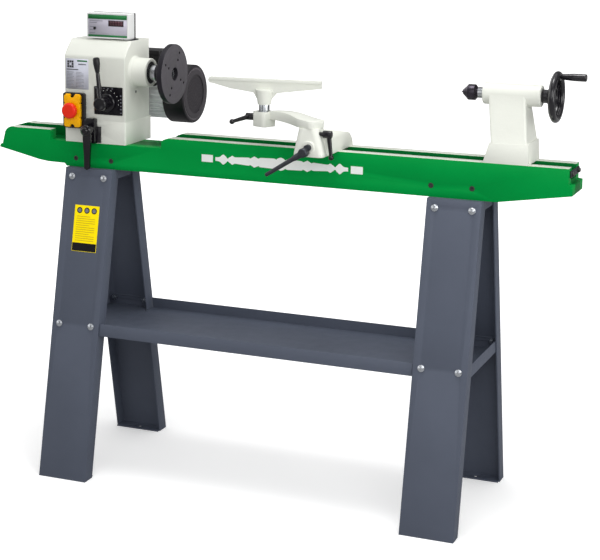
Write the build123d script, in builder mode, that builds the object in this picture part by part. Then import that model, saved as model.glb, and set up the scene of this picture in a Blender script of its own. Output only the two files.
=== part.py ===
# Variable-speed wood lathe on a four-legged sheet-metal stand.
# Units mm. +X runs along the bed from headstock to tailstock, +Y to the back, +Z up.
# The origin is on the floor, at the centre of the four floor-bolt holes in the feet.
from build123d import *

import math
import os

os.makedirs("parts", exist_ok=True)

# ---------------------------------------------------------------- driving dimensions
CUT = Mode.SUBTRACT
SIDES = (-1, 1)        # front/back or left/right
CLEAR = 0.02           # hairline gap between pieces that rest on each other
SHAFT_FIT = 0.05       # gap of a shaft or of an axial seat

# bed
WAY_Z = 855.0          # top of the bed ways
WAY_T = 15.0           # thickness of the ways and of the headstock seat
BED_Z0 = 765.5         # underside of the bed between the legs
BED_HALF = 54.4        # half width of the bed
BED_WALL = 10.0        # side wall of the bed
SLOT_HALF = 25.3       # half width of the slot between the ways
BED_X = 737.0          # right end of the ways
LIP_X = 747.0          # end lips of the bed
SEAT_Z = 829.0         # flat seat of the swivelling headstock
SEAT_X0, SEAT_X1 = -597.0, -283.0
STOP_Y, STOP_Z = 32.0, 840.0   # end-stop screws

SPINDLE_Z = 1009.0     # spindle axis height (centre height 154 over the ways)

# stand
LEG_X = 477.0          # centre of each pair of legs
LEG_W = 131.0          # leg width along the bed
LEG_TOP_Y = 72.0       # outer face of the leg at the bed underside
LEG_FOOT_Y = 227.5     # outer face of the leg at the floor
SHEET = 3.0
FLANGE = 36.5
INSIDE_HALF = LEG_W / 2 - SHEET - 0.5          # half width that fits inside a leg
LEG_RUN = (LEG_FOOT_Y - LEG_TOP_Y) / BED_Z0    # outward lean per mm of height
BOLT_DX = 44.7         # stand bolts either side of the leg centre
BOLT_TOP_Z, BOLT_LOW_Z = 744.3, 379.6
BOLT_R, BOLT_HOLE_R = 4.0, 4.6
TRAY_Z0, TRAY_Z1 = 358.0, 388.0
TRAY_T = 2.0
FOOT_HOLE_Y = 200.0
FOOT_HOLE_R = 5.5
# bed-to-bracket screws: X, Z
BED_SCREWS = ((-523.5, 787.0), (-423.7, 786.0), (415.0, 792.0), (513.7, 792.0))

# headstock
SWIVEL_X = -467.5      # headstock swivel axis
SWIVEL_HOLE_R = 12.0
HEAD_X0, HEAD_X1 = -553.0, -382.0
HEAD_Y0, HEAD_Y1 = -55.0, 78.0
BASE_Y1 = 86.0         # back of the swivel base
HEAD_Z0, HEAD_Z1 = 887.0, 1087.0
WALL = 6.0
WEB_X0, WEB_X1 = -497.0, -489.0    # wall between belt and right compartments
BOSS_X1 = -336.0       # end of the front bearing boss
NOSE_X = -318.0        # shoulder of the spindle nose
LOBE_R = 80.0          # rear lobe round the motor pulley

# motor and belt
MOTOR_Y, MOTOR_Z = 160.0, 939.5
BELT_X = -521.0        # centre plane of the drive belt
BELT_W = 17.0
SPINDLE_RUN_R, MOTOR_RUN_R = 36.0, 40.0  # running radii of the belt
MOTOR_SHAFT_R = 10.0
CABLE_X, CABLE_Z = -394.0, 970.0         # cable outlet in the headstock
BOX_CABLE_X, BOX_CABLE_Z = -396.0, 1025.0    # cable entry in the terminal box

# headstock controls
SPEED_X, SPEED_Z = -430.0, 935.0         # speed lever shaft
LOCK_X, LOCK_Z = -473.0, 866.0           # swivel lock shaft
CONTROL_R, CONTROL_HOLE_R = 7.0, 7.05    # control shafts and their bores

# tool rest
REST_X = 149.0         # centre of the tool-rest base and its clamp stud
CLAMP_Z = WAY_Z + 22   # eccentric shafts of the tool rest and tailstock
CLAMP_R = 8.0
ARM_X, ARM_Y = 143.0, -127.0   # swing-arm pivot
POST_X, POST_Y = -5.0, -58.0   # tool-rest post
ARM_SCREW_Y, ARM_SCREW_Z = ARM_Y - 13, 908.0
POST_SCREW_Z = 925.0
SOCKET_Z0, SOCKET_Z1 = 904.0, 940.0
POST_R = 12.7
REST_ANGLE = 6.4       # the tool rest stands this far off the bed line

# tailstock
TAIL_X = 590.0         # tailstock clamp stud
QUILL_LOCK_X = 560.0
CRANK_Z = SPINDLE_Z + 47


# ---------------------------------------------------------------- helpers
TURN = {"x": (0, 90, 0), "y": (-90, 0, 0), "z": (0, 0, 0)}
STEP = {"x": (1, 0, 0), "y": (0, 1, 0), "z": (0, 0, 1)}


def save(piece, name):
    piece.part.label = name
    export_step(piece.part, "parts/" + name + ".step")


def block(x0, x1, y0, y1, z0, z1, mode=Mode.ADD):
    # a box between two opposite corners, given in either order
    with Locations(((x0 + x1) / 2, (y0 + y1) / 2, (z0 + z1) / 2)):
        Box(abs(x1 - x0), abs(y1 - y0), abs(z1 - z0), mode=mode)


def along(axis, x, y, z, length):
    # location of a solid whose axis starts at x, y, z
    step = STEP[axis]
    middle = (x + step[0] * length / 2, y + step[1] * length / 2, z + step[2] * length / 2)
    return Location(middle, TURN[axis])


def rod(axis, x, y, z, radius, length, mode=Mode.ADD):
    # a negative length runs back along the axis
    with Locations(along(axis, x, y, z, length)):
        Cylinder(radius, abs(length), mode=mode)


def taper(axis, x, y, z, r0, r1, length, mode=Mode.ADD):
    with Locations(along(axis, x, y, z, length)):
        Cone(r0, r1, length, mode=mode)


def spindle_rod(x, radius, length, mode=Mode.ADD):
    rod("x", x, 0, SPINDLE_Z, radius, length, mode)


def spindle_taper(x, r0, r1, length, mode=Mode.ADD):
    taper("x", x, 0, SPINDLE_Z, r0, r1, length, mode)


def motor_rod(x, radius, length, mode=Mode.ADD):
    rod("x", x, MOTOR_Y, MOTOR_Z, radius, length, mode)


def around_motor(x, radius, degrees):
    # place on a circle round the motor axis, turned to face outward
    angle = math.radians(degrees)
    y = MOTOR_Y + radius * math.cos(angle)
    z = MOTOR_Z + radius * math.sin(angle)
    return Location((x, y, z), (degrees, 0, 0))


def turned(points, plane, axis):
    # a turned piece: half profile revolved about its axis
    with BuildSketch(plane) as half:
        with BuildLine():
            Polyline(*points, close=True)
        make_face()
    revolve(half.sketch, axis=axis)


def web_y(z):
    # outer face of a leg at a height
    return LEG_FOOT_Y - LEG_RUN * z


def inner_y(z):
    # outer face of a sheet that sits inside the leg webs
    return web_y(z) - SHEET * 1.02 - 0.6


def bolt_planes(z, ends=SIDES, sides=SIDES, outset=0.0):
    # planes on the leg faces at one row of stand bolts, facing outward
    return [
        Plane(origin=(end * LEG_X + dx, side * (web_y(z) + outset), z), z_dir=(0, side, LEG_RUN))
        for end in ends
        for dx in (-BOLT_DX, BOLT_DX)
        for side in sides
    ]


def cut_bolt_holes(depth, z, ends=SIDES, sides=SIDES):
    for plane in bolt_planes(z, ends, sides):
        with Locations(plane):
            Cylinder(BOLT_HOLE_R, depth, mode=CUT)


# ---------------------------------------------------------------- stand: four channel legs
def leg(name, end, side):
    centre = end * LEG_X
    up = Vector(0, -side * LEG_RUN, 1).normalized()
    with BuildPart() as piece:
        base = Plane(origin=(centre, side * LEG_FOOT_Y, 0), x_dir=(1, 0, 0), z_dir=up)
        # channel section, open towards the middle of the stand
        with BuildSketch(base.offset(-60)):
            with Locations((0, -side * FLANGE / 2)):
                Rectangle(LEG_W, FLANGE)
            with Locations((0, -side * (SHEET + FLANGE / 2 + 1))):
                Rectangle(LEG_W - 2 * SHEET, FLANGE + 2, mode=CUT)
        extrude(amount=900)
        # trimmed level at the floor and at the bed
        block(centre - 100, centre + 100, -400, 400, -120, 0, mode=CUT)
        block(centre - 100, centre + 100, -400, 400, BED_Z0, 1000, mode=CUT)
        # foot tab turned in along the floor, with its floor-bolt hole
        tab_half = LEG_W / 2 - SHEET
        block(centre - tab_half, centre + tab_half,
              side * (LEG_FOOT_Y - SHEET - 0.4), side * (LEG_FOOT_Y - 46), 0, SHEET)
        rod("z", centre, side * FOOT_HOLE_Y, -1, FOOT_HOLE_R, 6, mode=CUT)
        for z in (BOLT_TOP_Z, BOLT_LOW_Z):
            cut_bolt_holes(16, z, ends=(end,), sides=(side,))
    save(piece, name)


leg("leg_front_left", -1, -1)
leg("leg_front_right", 1, -1)
leg("leg_back_left", -1, 1)
leg("leg_back_right", 1, 1)


# ---------------------------------------------------------------- brackets under the bed
BRACKET_DROP = 42.0    # height of the front and back skirts
SKIRT_DY = 3.1         # sheet thickness measured along Y in a leaning skirt


def bracket(name, end):
    centre = end * LEG_X
    left = centre - INSIDE_HALF
    low_z = BED_Z0 - BRACKET_DROP
    under_z = BED_Z0 - SHEET
    top_y, low_y = inner_y(BED_Z0), inner_y(low_z)
    with BuildPart() as piece:
        # cross plate under the bed, with front and back skirts turned down
        with BuildSketch(Plane.YZ.offset(left)):
            with BuildLine():
                Polyline((-top_y, BED_Z0), (top_y, BED_Z0), (low_y, low_z),
                         (low_y - SKIRT_DY, low_z), (top_y - SKIRT_DY, under_z),
                         (-top_y + SKIRT_DY, under_z), (-low_y + SKIRT_DY, low_z),
                         (-low_y, low_z), close=True)
            make_face()
        extrude(amount=2 * INSIDE_HALF)
        # skirts at the left and right edges
        for side in SIDES:
            x = min(centre + side * INSIDE_HALF, centre + side * (INSIDE_HALF - SHEET))
            with BuildSketch(Plane.YZ.offset(x)):
                with BuildLine():
                    Polyline((-top_y, BED_Z0), (top_y, BED_Z0), (low_y - 12, BED_Z0 - 26),
                             (-low_y + 12, BED_Z0 - 26), close=True)
                make_face()
            extrude(amount=SHEET)
        # ears standing up inside the bed walls
        for side in SIDES:
            block(left + 4, centre + INSIDE_HALF - 4,
                  side * (BED_HALF - 10.1), side * (BED_HALF - 14.1), under_z, 812)
        for x, z in BED_SCREWS:
            if x * end > 0:
                rod("y", x, -80, z, 4.1, 160, mode=CUT)
        cut_bolt_holes(24, BOLT_TOP_Z, ends=(end,))
    save(piece, name)


bracket("top_bracket_left", -1)
bracket("top_bracket_right", 1)

# ---------------------------------------------------------------- shelf tray
TRAY_HALF = LEG_X + INSIDE_HALF
TRAY_LOW_Y, TRAY_TOP_Y = inner_y(TRAY_Z0), inner_y(TRAY_Z1)

with BuildPart() as shelf_tray:
    # floor with leaning front and back rims
    with BuildSketch(Plane.YZ.offset(-TRAY_HALF)):
        with BuildLine():
            Polyline((-TRAY_LOW_Y, TRAY_Z0), (TRAY_LOW_Y, TRAY_Z0), (TRAY_TOP_Y, TRAY_Z1),
                     (TRAY_TOP_Y - 2.04, TRAY_Z1), (TRAY_LOW_Y - 2.45, TRAY_Z0 + TRAY_T),
                     (-TRAY_LOW_Y + 2.45, TRAY_Z0 + TRAY_T), (-TRAY_TOP_Y + 2.04, TRAY_Z1),
                     (-TRAY_TOP_Y, TRAY_Z1), close=True)
        make_face()
    extrude(amount=2 * TRAY_HALF)
    for end in SIDES:
        # end rim
        x = min(end * TRAY_HALF, end * (TRAY_HALF - TRAY_T))
        with BuildSketch(Plane.YZ.offset(x)):
            with BuildLine():
                Polyline((-TRAY_LOW_Y + 30, TRAY_Z0), (TRAY_LOW_Y - 30, TRAY_Z0),
                         (TRAY_LOW_Y - 38, TRAY_Z1), (-TRAY_LOW_Y + 38, TRAY_Z1), close=True)
            make_face()
        extrude(amount=TRAY_T)
        # relief for the inner flanges of the legs
        flange_x = end * (LEG_X - LEG_W / 2 + SHEET / 2)
        for side in SIDES:
            block(flange_x - 3, flange_x + 3,
                  side * (TRAY_LOW_Y + 5), side * (TRAY_TOP_Y - FLANGE - 6),
                  TRAY_Z0 - 1, TRAY_Z1 + 1, mode=CUT)
    cut_bolt_holes(24, BOLT_LOW_Z)
save(shelf_tray, "shelf_tray")

# ---------------------------------------------------------------- stand bolts and nuts
with BuildPart() as stand_bolts:
    for z in (BOLT_TOP_Z, BOLT_LOW_Z):
        for plane in bolt_planes(z, outset=0.01):
            with Locations(plane):
                with Locations((0, 0, -7.5)):
                    Cylinder(BOLT_R, 15.2)
                with Locations((0, 0, 1.0)):
                    Cylinder(8.4, 2.0)
                with Locations((0, 0, 3.2)):
                    Cone(8.2, 4.6, 2.4)
save(stand_bolts, "stand_bolts")

NUT_T = 6.2
with BuildPart() as stand_nuts:
    # row height, sheet stack under the nut
    for z, stack in ((BOLT_TOP_Z, 6.9), (BOLT_LOW_Z, 6.0)):
        for plane in bolt_planes(z):
            with BuildSketch(plane.offset(-stack - NUT_T - 0.2)):
                RegularPolygon(7.5, 6)
                Circle(BOLT_R + SHAFT_FIT, mode=CUT)
            extrude(amount=NUT_T)
save(stand_nuts, "stand_nuts")

# ---------------------------------------------------------------- bed
HOLLOW_HALF = BED_HALF - BED_WALL
HOLLOW_X0, HOLLOW_X1 = SEAT_X1 + 14, BED_X - 14

with BuildPart() as bed:
    # side outline, X and Z, clockwise from the left end of the ways
    with BuildSketch(Plane.XZ.offset(-BED_HALF)):
        with BuildLine():
            Polyline((-700, WAY_Z), (SEAT_X0, WAY_Z), (SEAT_X0, SEAT_Z), (SEAT_X1, SEAT_Z),
                     (SEAT_X1, SEAT_Z + 17), (SEAT_X1 + 7, WAY_Z - 4), (SEAT_X1 + 20, WAY_Z),
                     (BED_X, WAY_Z), (BED_X, 818), (LIP_X, 816.5), (LIP_X, 793),
                     (573, BED_Z0), (-551, BED_Z0), (-556, BED_Z0 + 6.5),
                     (-604, BED_Z0 + 7.5), (-632, BED_Z0 + 11), (-676, BED_Z0 + 20.5),
                     (-LIP_X, 801), (-744, 808), (-738, 811), (-730, 842))
            ThreePointArc((-730, 842), (-723, 850.5), (-700, WAY_Z))
        make_face()
    extrude(amount=2 * BED_HALF)
    # slot between the ways, right and left of the headstock seat
    block(SEAT_X1 - 2, BED_X + 20, -SLOT_HALF, SLOT_HALF, SEAT_Z - 4, WAY_Z + 5, mode=CUT)
    block(-712, SEAT_X0 + 2, -SLOT_HALF, SLOT_HALF, SEAT_Z, WAY_Z + 5, mode=CUT)
    block(HOLLOW_X0, HOLLOW_X1, -SLOT_HALF, SLOT_HALF, 700, WAY_Z, mode=CUT)
    # hollows between the side walls: under the ways, the seat and the left end
    with BuildSketch(Plane.XZ.offset(-HOLLOW_HALF)):
        for x0, x1, top in ((HOLLOW_X0, HOLLOW_X1, WAY_Z - WAY_T),
                            (SEAT_X0 + 4, SEAT_X1 + 2, SEAT_Z - WAY_T),
                            (-722, SEAT_X0 - 8, SEAT_Z - WAY_T)):
            with BuildLine():
                Polyline((x0, 700), (x0, top), (x1, top), (x1, 700), close=True)
            make_face()
    extrude(amount=2 * HOLLOW_HALF, mode=CUT)
    # cross ribs below the slot
    for x in (-60, 190, 360):
        block(x - 5, x + 5, -BED_HALF + 5, BED_HALF - 5, BED_Z0, 805)
    rod("z", SWIVEL_X, 0, 700, SWIVEL_HOLE_R, 200, mode=CUT)
    # stand screws, counterbored in both faces
    for x, z in BED_SCREWS:
        rod("y", x, -80, z, 4.2, 160, mode=CUT)
        for side in SIDES:
            rod("y", x, side * (BED_HALF + 1), z, 6.6, -side * 5.6, mode=CUT)
    # stop-bar screw holes at both ends
    for y in (-STOP_Y, STOP_Y):
        rod("x", BED_X - 14, y, STOP_Z, 3.1, 30, mode=CUT)
        rod("x", -760, y, 828, 3.1, 60, mode=CUT)
save(bed, "bed")

with BuildPart() as bed_screws:
    for x, z in BED_SCREWS:
        for side in SIDES:
            rod("y", x, side * (BED_HALF - 0.4), z, 6.4, -side * 4.0)
            rod("y", x, side * (BED_HALF - 4.0), z, 4.0, -side * 16)
            # hexagon socket
            with BuildSketch(Plane.XZ.offset(-side * (BED_HALF - 0.3))):
                with Locations((x, z)):
                    RegularPolygon(3.4, 6)
            extrude(amount=side * 2.6, mode=CUT)
save(bed_screws, "bed_screws")

with BuildPart() as end_stop_bar:
    block(BED_X + CLEAR, BED_X + 4, -43, 43, STOP_Z - 7.5, STOP_Z + 7.5)
    for y in (-STOP_Y, STOP_Y):
        rod("x", BED_X - 2, y, STOP_Z, 3.1, 10, mode=CUT)
save(end_stop_bar, "end_stop_bar")

with BuildPart() as end_stop_screws:
    for y in (-STOP_Y, STOP_Y):
        rod("x", BED_X - 12, y, STOP_Z, 3.0, 16.2)
        rod("x", BED_X + 4.02, y, STOP_Z, 5.6, 3.4)
        taper("x", BED_X + 7.42, y, STOP_Z, 5.4, 3.6, 1.4)
save(end_stop_screws, "end_stop_screws")

# ---------------------------------------------------------------- headstock: swivel base
with BuildPart() as headstock_base:
    block(HEAD_X0, HEAD_X1, HEAD_Y0, BASE_Y1, SEAT_Z, HEAD_Z0)
    fillet(headstock_base.edges().filter_by(Axis.Z), 3)
    block(HEAD_X0 + 10, HEAD_X1 - 10, HEAD_Y0 + 10, BASE_Y1 - 10, SEAT_Z + 16, HEAD_Z0 + 1,
          mode=CUT)
    block(HEAD_X0 + WALL, HEAD_X1 - WALL, HEAD_Y0 + WALL, HEAD_Y1 - WALL,
          HEAD_Z0 - 6, HEAD_Z0 + 1, mode=CUT)
    rod("z", SWIVEL_X, 0, SEAT_Z - 1, SWIVEL_HOLE_R, 20, mode=CUT)
    rod("y", LOCK_X, HEAD_Y0 - 5, LOCK_Z, CONTROL_HOLE_R, 20, mode=CUT)
save(headstock_base, "headstock_base")

WASHER_Z = SEAT_Z - WAY_T - 6.05
with BuildPart() as swivel_bolt:
    # stud through the bed seat: clamp washer and nut underneath, eye for the lock cam on top
    rod("z", SWIVEL_X, 0, SEAT_Z - 36, 10.0, 60)
    rod("z", SWIVEL_X, 0, WASHER_Z, 27.0, 6.0)
    with BuildSketch(Plane.XY.offset(WASHER_Z - 13)):
        with Locations((SWIVEL_X, 0)):
            RegularPolygon(15, 6)
    extrude(amount=13)
    rod("y", LOCK_X, -11, LOCK_Z, 17.5, 22)
    rod("y", LOCK_X, -12, LOCK_Z, 11.7, 24, mode=CUT)
save(swivel_bolt, "swivel_bolt")


# ---------------------------------------------------------------- headstock: housing
def compartment(inset, floor_rise, floor_back, lobe_end, step_z, corner):
    # belt-compartment outline in Y and Z: floor run, arc round the motor axis, roof run
    radius = LOBE_R - inset
    front, back = HEAD_Y0 + inset, HEAD_Y1 - inset
    floor, roof = HEAD_Z0 + floor_rise, HEAD_Z1 - inset
    lower = [(front, floor), (floor_back, floor),
             (BASE_Y1 + inset, MOTOR_Z - radius), (MOTOR_Y, MOTOR_Z - radius)]
    arc = [lower[-1], (MOTOR_Y + radius, MOTOR_Z),
           (MOTOR_Y + lobe_end[0], MOTOR_Z + lobe_end[1])]
    upper = [arc[-1], (back, step_z), (back, roof),
             (HEAD_Y0 + corner, roof), (front, HEAD_Z1 - corner), lower[0]]
    return lower, arc, upper


with BuildPart() as headstock_housing:
    # box with a rounded top front edge
    with BuildSketch(Plane.YZ.offset(HEAD_X0)):
        with BuildLine():
            Polyline((HEAD_Y0, HEAD_Z0), (HEAD_Y1, HEAD_Z0), (HEAD_Y1, HEAD_Z1),
                     (HEAD_Y0 + 43, HEAD_Z1))
            ThreePointArc((HEAD_Y0 + 43, HEAD_Z1), (HEAD_Y0 + 38, HEAD_Z1 - 1.0),
                          (HEAD_Y0 + 34, HEAD_Z1 - 3.6))
            ThreePointArc((HEAD_Y0 + 34, HEAD_Z1 - 3.6), (HEAD_Y0 + 16, HEAD_Z1 - 18.5),
                          (HEAD_Y0 + 2.2, HEAD_Z1 - 36))
            ThreePointArc((HEAD_Y0 + 2.2, HEAD_Z1 - 36), (HEAD_Y0 + 0.5, HEAD_Z1 - 39.5),
                          (HEAD_Y0, HEAD_Z1 - 43))
            Line((HEAD_Y0, HEAD_Z1 - 43), (HEAD_Y0, HEAD_Z0))
        make_face()
    extrude(amount=HEAD_X1 - HEAD_X0)
    fillet(headstock_housing.edges().filter_by(Axis.Z), 3)
    # rear lobe round the motor pulley
    with BuildSketch(Plane.YZ.offset(HEAD_X0)):
        with BuildLine():
            Polyline((HEAD_Y1 - 4, 1052), (HEAD_Y1 - 4, HEAD_Z0 + 0.3),
                     (BASE_Y1 + 0.3, HEAD_Z0 + 0.3), (BASE_Y1 + 0.3, MOTOR_Z - LOBE_R),
                     (MOTOR_Y, MOTOR_Z - LOBE_R))
            ThreePointArc((MOTOR_Y, MOTOR_Z - LOBE_R), (MOTOR_Y + LOBE_R, MOTOR_Z),
                          (MOTOR_Y + 42, MOTOR_Z + 68.1))
            Line((MOTOR_Y + 42, MOTOR_Z + 68.1), (HEAD_Y1 - 4, 1052))
        make_face()
    extrude(amount=WEB_X1 - HEAD_X0)
    # front bearing boss, blended into the side wall
    spindle_taper(HEAD_X1 - 1, 41.0, 36.2, 7)
    spindle_rod(HEAD_X1, 36.0, BOSS_X1 - HEAD_X1)
    fillet(headstock_housing.faces().filter_by(Axis.X).sort_by(Axis.X)[-1].edges(), 3)
    # right compartment
    with BuildSketch(Plane.YZ.offset(WEB_X1)):
        with BuildLine():
            Polyline((HEAD_Y0 + WALL, HEAD_Z0 - 1), (HEAD_Y1 - WALL, HEAD_Z0 - 1),
                     (HEAD_Y1 - WALL, HEAD_Z1 - WALL), (HEAD_Y0 + 43, HEAD_Z1 - WALL),
                     (HEAD_Y0 + WALL, HEAD_Z1 - 43), (HEAD_Y0 + WALL, HEAD_Z0 - 1))
        make_face()
    extrude(amount=HEAD_X1 - WALL - WEB_X1, mode=CUT)
    # belt compartment
    lower, arc, upper = compartment(
        inset=WALL, floor_rise=6, floor_back=BASE_Y1, lobe_end=(38, 63.5), step_z=1046, corner=43)
    with BuildSketch(Plane.YZ.offset(HEAD_X0 - 1)):
        with BuildLine():
            Polyline(*lower)
            ThreePointArc(*arc)
            Polyline(*upper)
        make_face()
    extrude(amount=WEB_X0 - HEAD_X0 + 1, mode=CUT)
    # bearing seats, rear then front
    spindle_rod(WEB_X0, 33, 22)
    spindle_rod(-500, 26.0, 40, mode=CUT)
    spindle_rod(HEAD_X1 - WALL, 36.0, 8)
    spindle_rod(-390, 23.0, 60, mode=CUT)
    spindle_rod(-362, 28.0, 30, mode=CUT)
    # motor shaft hole
    motor_rod(-505, 24.0, 20, mode=CUT)
    # speed lever shaft hole, and a small hole in the right wall
    rod("y", SPEED_X, HEAD_Y0 - 5, SPEED_Z, CONTROL_HOLE_R, 20, mode=CUT)
    rod("x", HEAD_X1 - WALL - 1, 4, 958, 4.0, WALL + 3, mode=CUT)
    # rim recess for the belt cover
    lower, arc, upper = compartment(
        inset=3.5, floor_rise=3, floor_back=BASE_Y1 + 3.5, lobe_end=(40, 65.2),
        step_z=1049, corner=42.4)
    with BuildSketch(Plane.YZ.offset(HEAD_X0 - 1)):
        with BuildLine():
            Polyline(*lower)
            ThreePointArc(*arc)
            Polyline(*upper)
        make_face()
    extrude(amount=1 + 3.2, mode=CUT)
    # cable outlet in the back wall
    rod("y", CABLE_X, HEAD_Y1 - WALL - 1, CABLE_Z, 4.5, WALL + 3, mode=CUT)
save(headstock_housing, "headstock_housing")

with BuildPart() as belt_cover:
    lower, arc, upper = compartment(
        inset=3.9, floor_rise=3.4, floor_back=BASE_Y1 + 3.9, lobe_end=(39.7, 64.9),
        step_z=1048.6, corner=42.6)
    with BuildSketch(Plane.YZ.offset(HEAD_X0 + 0.2)):
        with BuildLine():
            Polyline(*lower)
            ThreePointArc(*arc)
            Polyline(*upper)
        make_face()
    extrude(amount=2.9)
    # raised ring round the hole on the spindle axis
    spindle_rod(HEAD_X0 - 3, 30, 3.4)
    spindle_rod(HEAD_X0 - 10, 19.0, 20, mode=CUT)
    # cooling slots
    for k in range(6):
        with Locations((HEAD_X0 + 1, 162, 900 + k * 11)):
            Box(8, 60, 4, mode=CUT)
save(belt_cover, "belt_cover")

# ---------------------------------------------------------------- spindle group
with BuildPart() as spindle_bearings:
    # left face, outer radius, width
    for x, outer_r, width in ((-356, 27.95, 18), (WEB_X0, 25.95, 16)):
        with BuildSketch(Plane.YZ.offset(x)):
            with Locations((0, SPINDLE_Z)):
                Circle(outer_r)
                Circle(15.0 + SHAFT_FIT, mode=CUT)
        extrude(amount=width)
save(spindle_bearings, "spindle_bearings")

with BuildPart() as spindle:
    spindle_rod(-549.0, 15.0, 233)
    spindle_rod(-338 + SHAFT_FIT, 19.5, 19.9)
    spindle_rod(NOSE_X, 16.3, 39)
    spindle_rod(-481 + SHAFT_FIT, 19.5, 8)
    # through bore and the taper in the nose
    spindle_rod(-560, 5.5, 300, mode=CUT)
    spindle_taper(-343, 7.2, 8.9, 66, mode=CUT)
save(spindle, "spindle")


def pulley(name, y, z, hub_r, outer_r, run_r, bore_r):
    # two cone halves facing each other across the belt
    hub_end = 21.5

    def half_gap(radius):
        return 9.2 + 0.25 * (radius - (run_r - 4))

    plane = Plane(origin=(BELT_X, y, z), x_dir=(0, 0, 1), z_dir=(0, 1, 0))
    with BuildPart() as piece:
        for side in SIDES:
            # radius, distance from the belt plane
            profile = [
                (bore_r, half_gap(hub_r)), (hub_r, half_gap(hub_r)),
                (outer_r, half_gap(outer_r)), (outer_r, half_gap(outer_r) + 3),
                (hub_r + 9, hub_end), (hub_r, hub_end), (bore_r, hub_end),
            ]
            turned([(radius, side * offset) for radius, offset in profile], plane,
                   Axis((BELT_X, y, z), (1, 0, 0)))
    save(piece, name)


pulley("spindle_pulley", 0, SPINDLE_Z,
       hub_r=19.5, outer_r=46.0, run_r=SPINDLE_RUN_R, bore_r=15.0)

with BuildPart() as faceplate:
    spindle_rod(-286, 74.5, 14.5)
    chamfer(faceplate.edges().filter_by(GeomType.CIRCLE), 1.2)
    spindle_rod(NOSE_X + CLEAR, 23.0, 32.5)
    spindle_rod(-330, 16.35, 80, mode=CUT)
    for ring_r in (57.0, 38.0):
        for k in range(4):
            angle = math.radians(62 + 90 * k)
            rod("x", -290, ring_r * math.cos(angle), SPINDLE_Z + ring_r * math.sin(angle),
                3.2, 30, mode=CUT)
save(faceplate, "faceplate")

# ---------------------------------------------------------------- motor group
with BuildPart() as motor_body:
    motor_rod(WEB_X1 + CLEAR, 62.0, 146)
    # cooling fins
    for k in range(36):
        with Locations(around_motor(-416, 63, 10 * k)):
            Box(120, 8.4, 2.8)
    # end flanges
    motor_rod(WEB_X1 + CLEAR, 67.5, 10)
    motor_rod(-354, 67.5, 11)
    # pad under the terminal box
    block(-450, -372, MOTOR_Y - 26, MOTOR_Y + 26, MOTOR_Z + 55, MOTOR_Z + 72)
    motor_rod(WEB_X1, 56.0, 130, mode=CUT)
    # end shield with the shaft bore
    motor_rod(WEB_X1 + CLEAR, 60.0, 8)
    motor_rod(-500, MOTOR_SHAFT_R + 0.2, 170, mode=CUT)
save(motor_body, "motor_body")

with BuildPart() as motor_shaft:
    # shaft, rotor, fan end
    motor_rod(-545, MOTOR_SHAFT_R, 205)
    motor_rod(-471, 38.0, 88)
    motor_rod(-340, 7.0, 30)
save(motor_shaft, "motor_shaft")

pulley("motor_pulley", MOTOR_Y, MOTOR_Z,
       hub_r=16.0, outer_r=50.0, run_r=MOTOR_RUN_R, bore_r=MOTOR_SHAFT_R)

with BuildPart() as cooling_fan:
    motor_rod(-331, 18.0, 18)
    motor_rod(-331, 62.0, 2.5)
    motor_rod(-333, 7.0, 22, mode=CUT)
    for k in range(10):
        with Locations(around_motor(-322, 40, 36 * k)):
            Box(17, 45, 2.2)
save(cooling_fan, "cooling_fan")

# rings of air holes in the fan cover: ring radius, number of holes
AIR_HOLES = ((7.5, 6), (14.5, 12), (21.5, 18), (28.5, 24), (35.5, 30), (42.5, 36))

with BuildPart() as fan_cover:
    motor_rod(-349, 75.5, 58)
    fillet(fan_cover.edges().filter_by(GeomType.CIRCLE).sort_by(Axis.X)[-1], 6)
    motor_rod(-350, 73.7, 56.5, mode=CUT)
    # end face: bead groove, raised band and a recessed perforated disc
    with BuildSketch(Plane.YZ.offset(-291.0)):
        with Locations((MOTOR_Y, MOTOR_Z)):
            Circle(66.5)
            Circle(64.0, mode=CUT)
    extrude(amount=-0.9, mode=CUT)
    motor_rod(-293.2, 50.0, 6, mode=CUT)
    with BuildSketch(Plane.YZ.offset(-295.0)):
        with Locations((MOTOR_Y, MOTOR_Z)):
            Circle(50.5)
        for ring_r, count in AIR_HOLES:
            for k in range(count):
                angle = 2 * math.pi * (k + 0.5) / count
                with Locations((MOTOR_Y + ring_r * math.cos(angle),
                                MOTOR_Z + ring_r * math.sin(angle))):
                    Circle(2.15, mode=CUT)
    extrude(amount=2.0)
    # feet that grip the motor end
    for k in range(3):
        with Locations(around_motor(-346, 70.5, 120 * k + 90)):
            Box(6, 6.0, 12)
save(fan_cover, "fan_cover")

with BuildPart() as terminal_box:
    block(-448, -374, MOTOR_Y - 38, MOTOR_Y + 32, MOTOR_Z + 72.05, 1050)
    fillet(terminal_box.edges().filter_by(Axis.Z), 4)
    block(-444, -378, MOTOR_Y - 34, MOTOR_Y + 28, MOTOR_Z + 71, 1044, mode=CUT)
    # joint groove under the lid, round a thin inner plate
    block(-449, -373, MOTOR_Y - 39, MOTOR_Y + 33, 1036, 1037, mode=CUT)
    block(-447, -375, MOTOR_Y - 37, MOTOR_Y + 31, 1036, 1037)
    rod("y", BOX_CABLE_X, MOTOR_Y - 40, BOX_CABLE_Z, 5.2, 8, mode=CUT)
save(terminal_box, "terminal_box")

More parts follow.
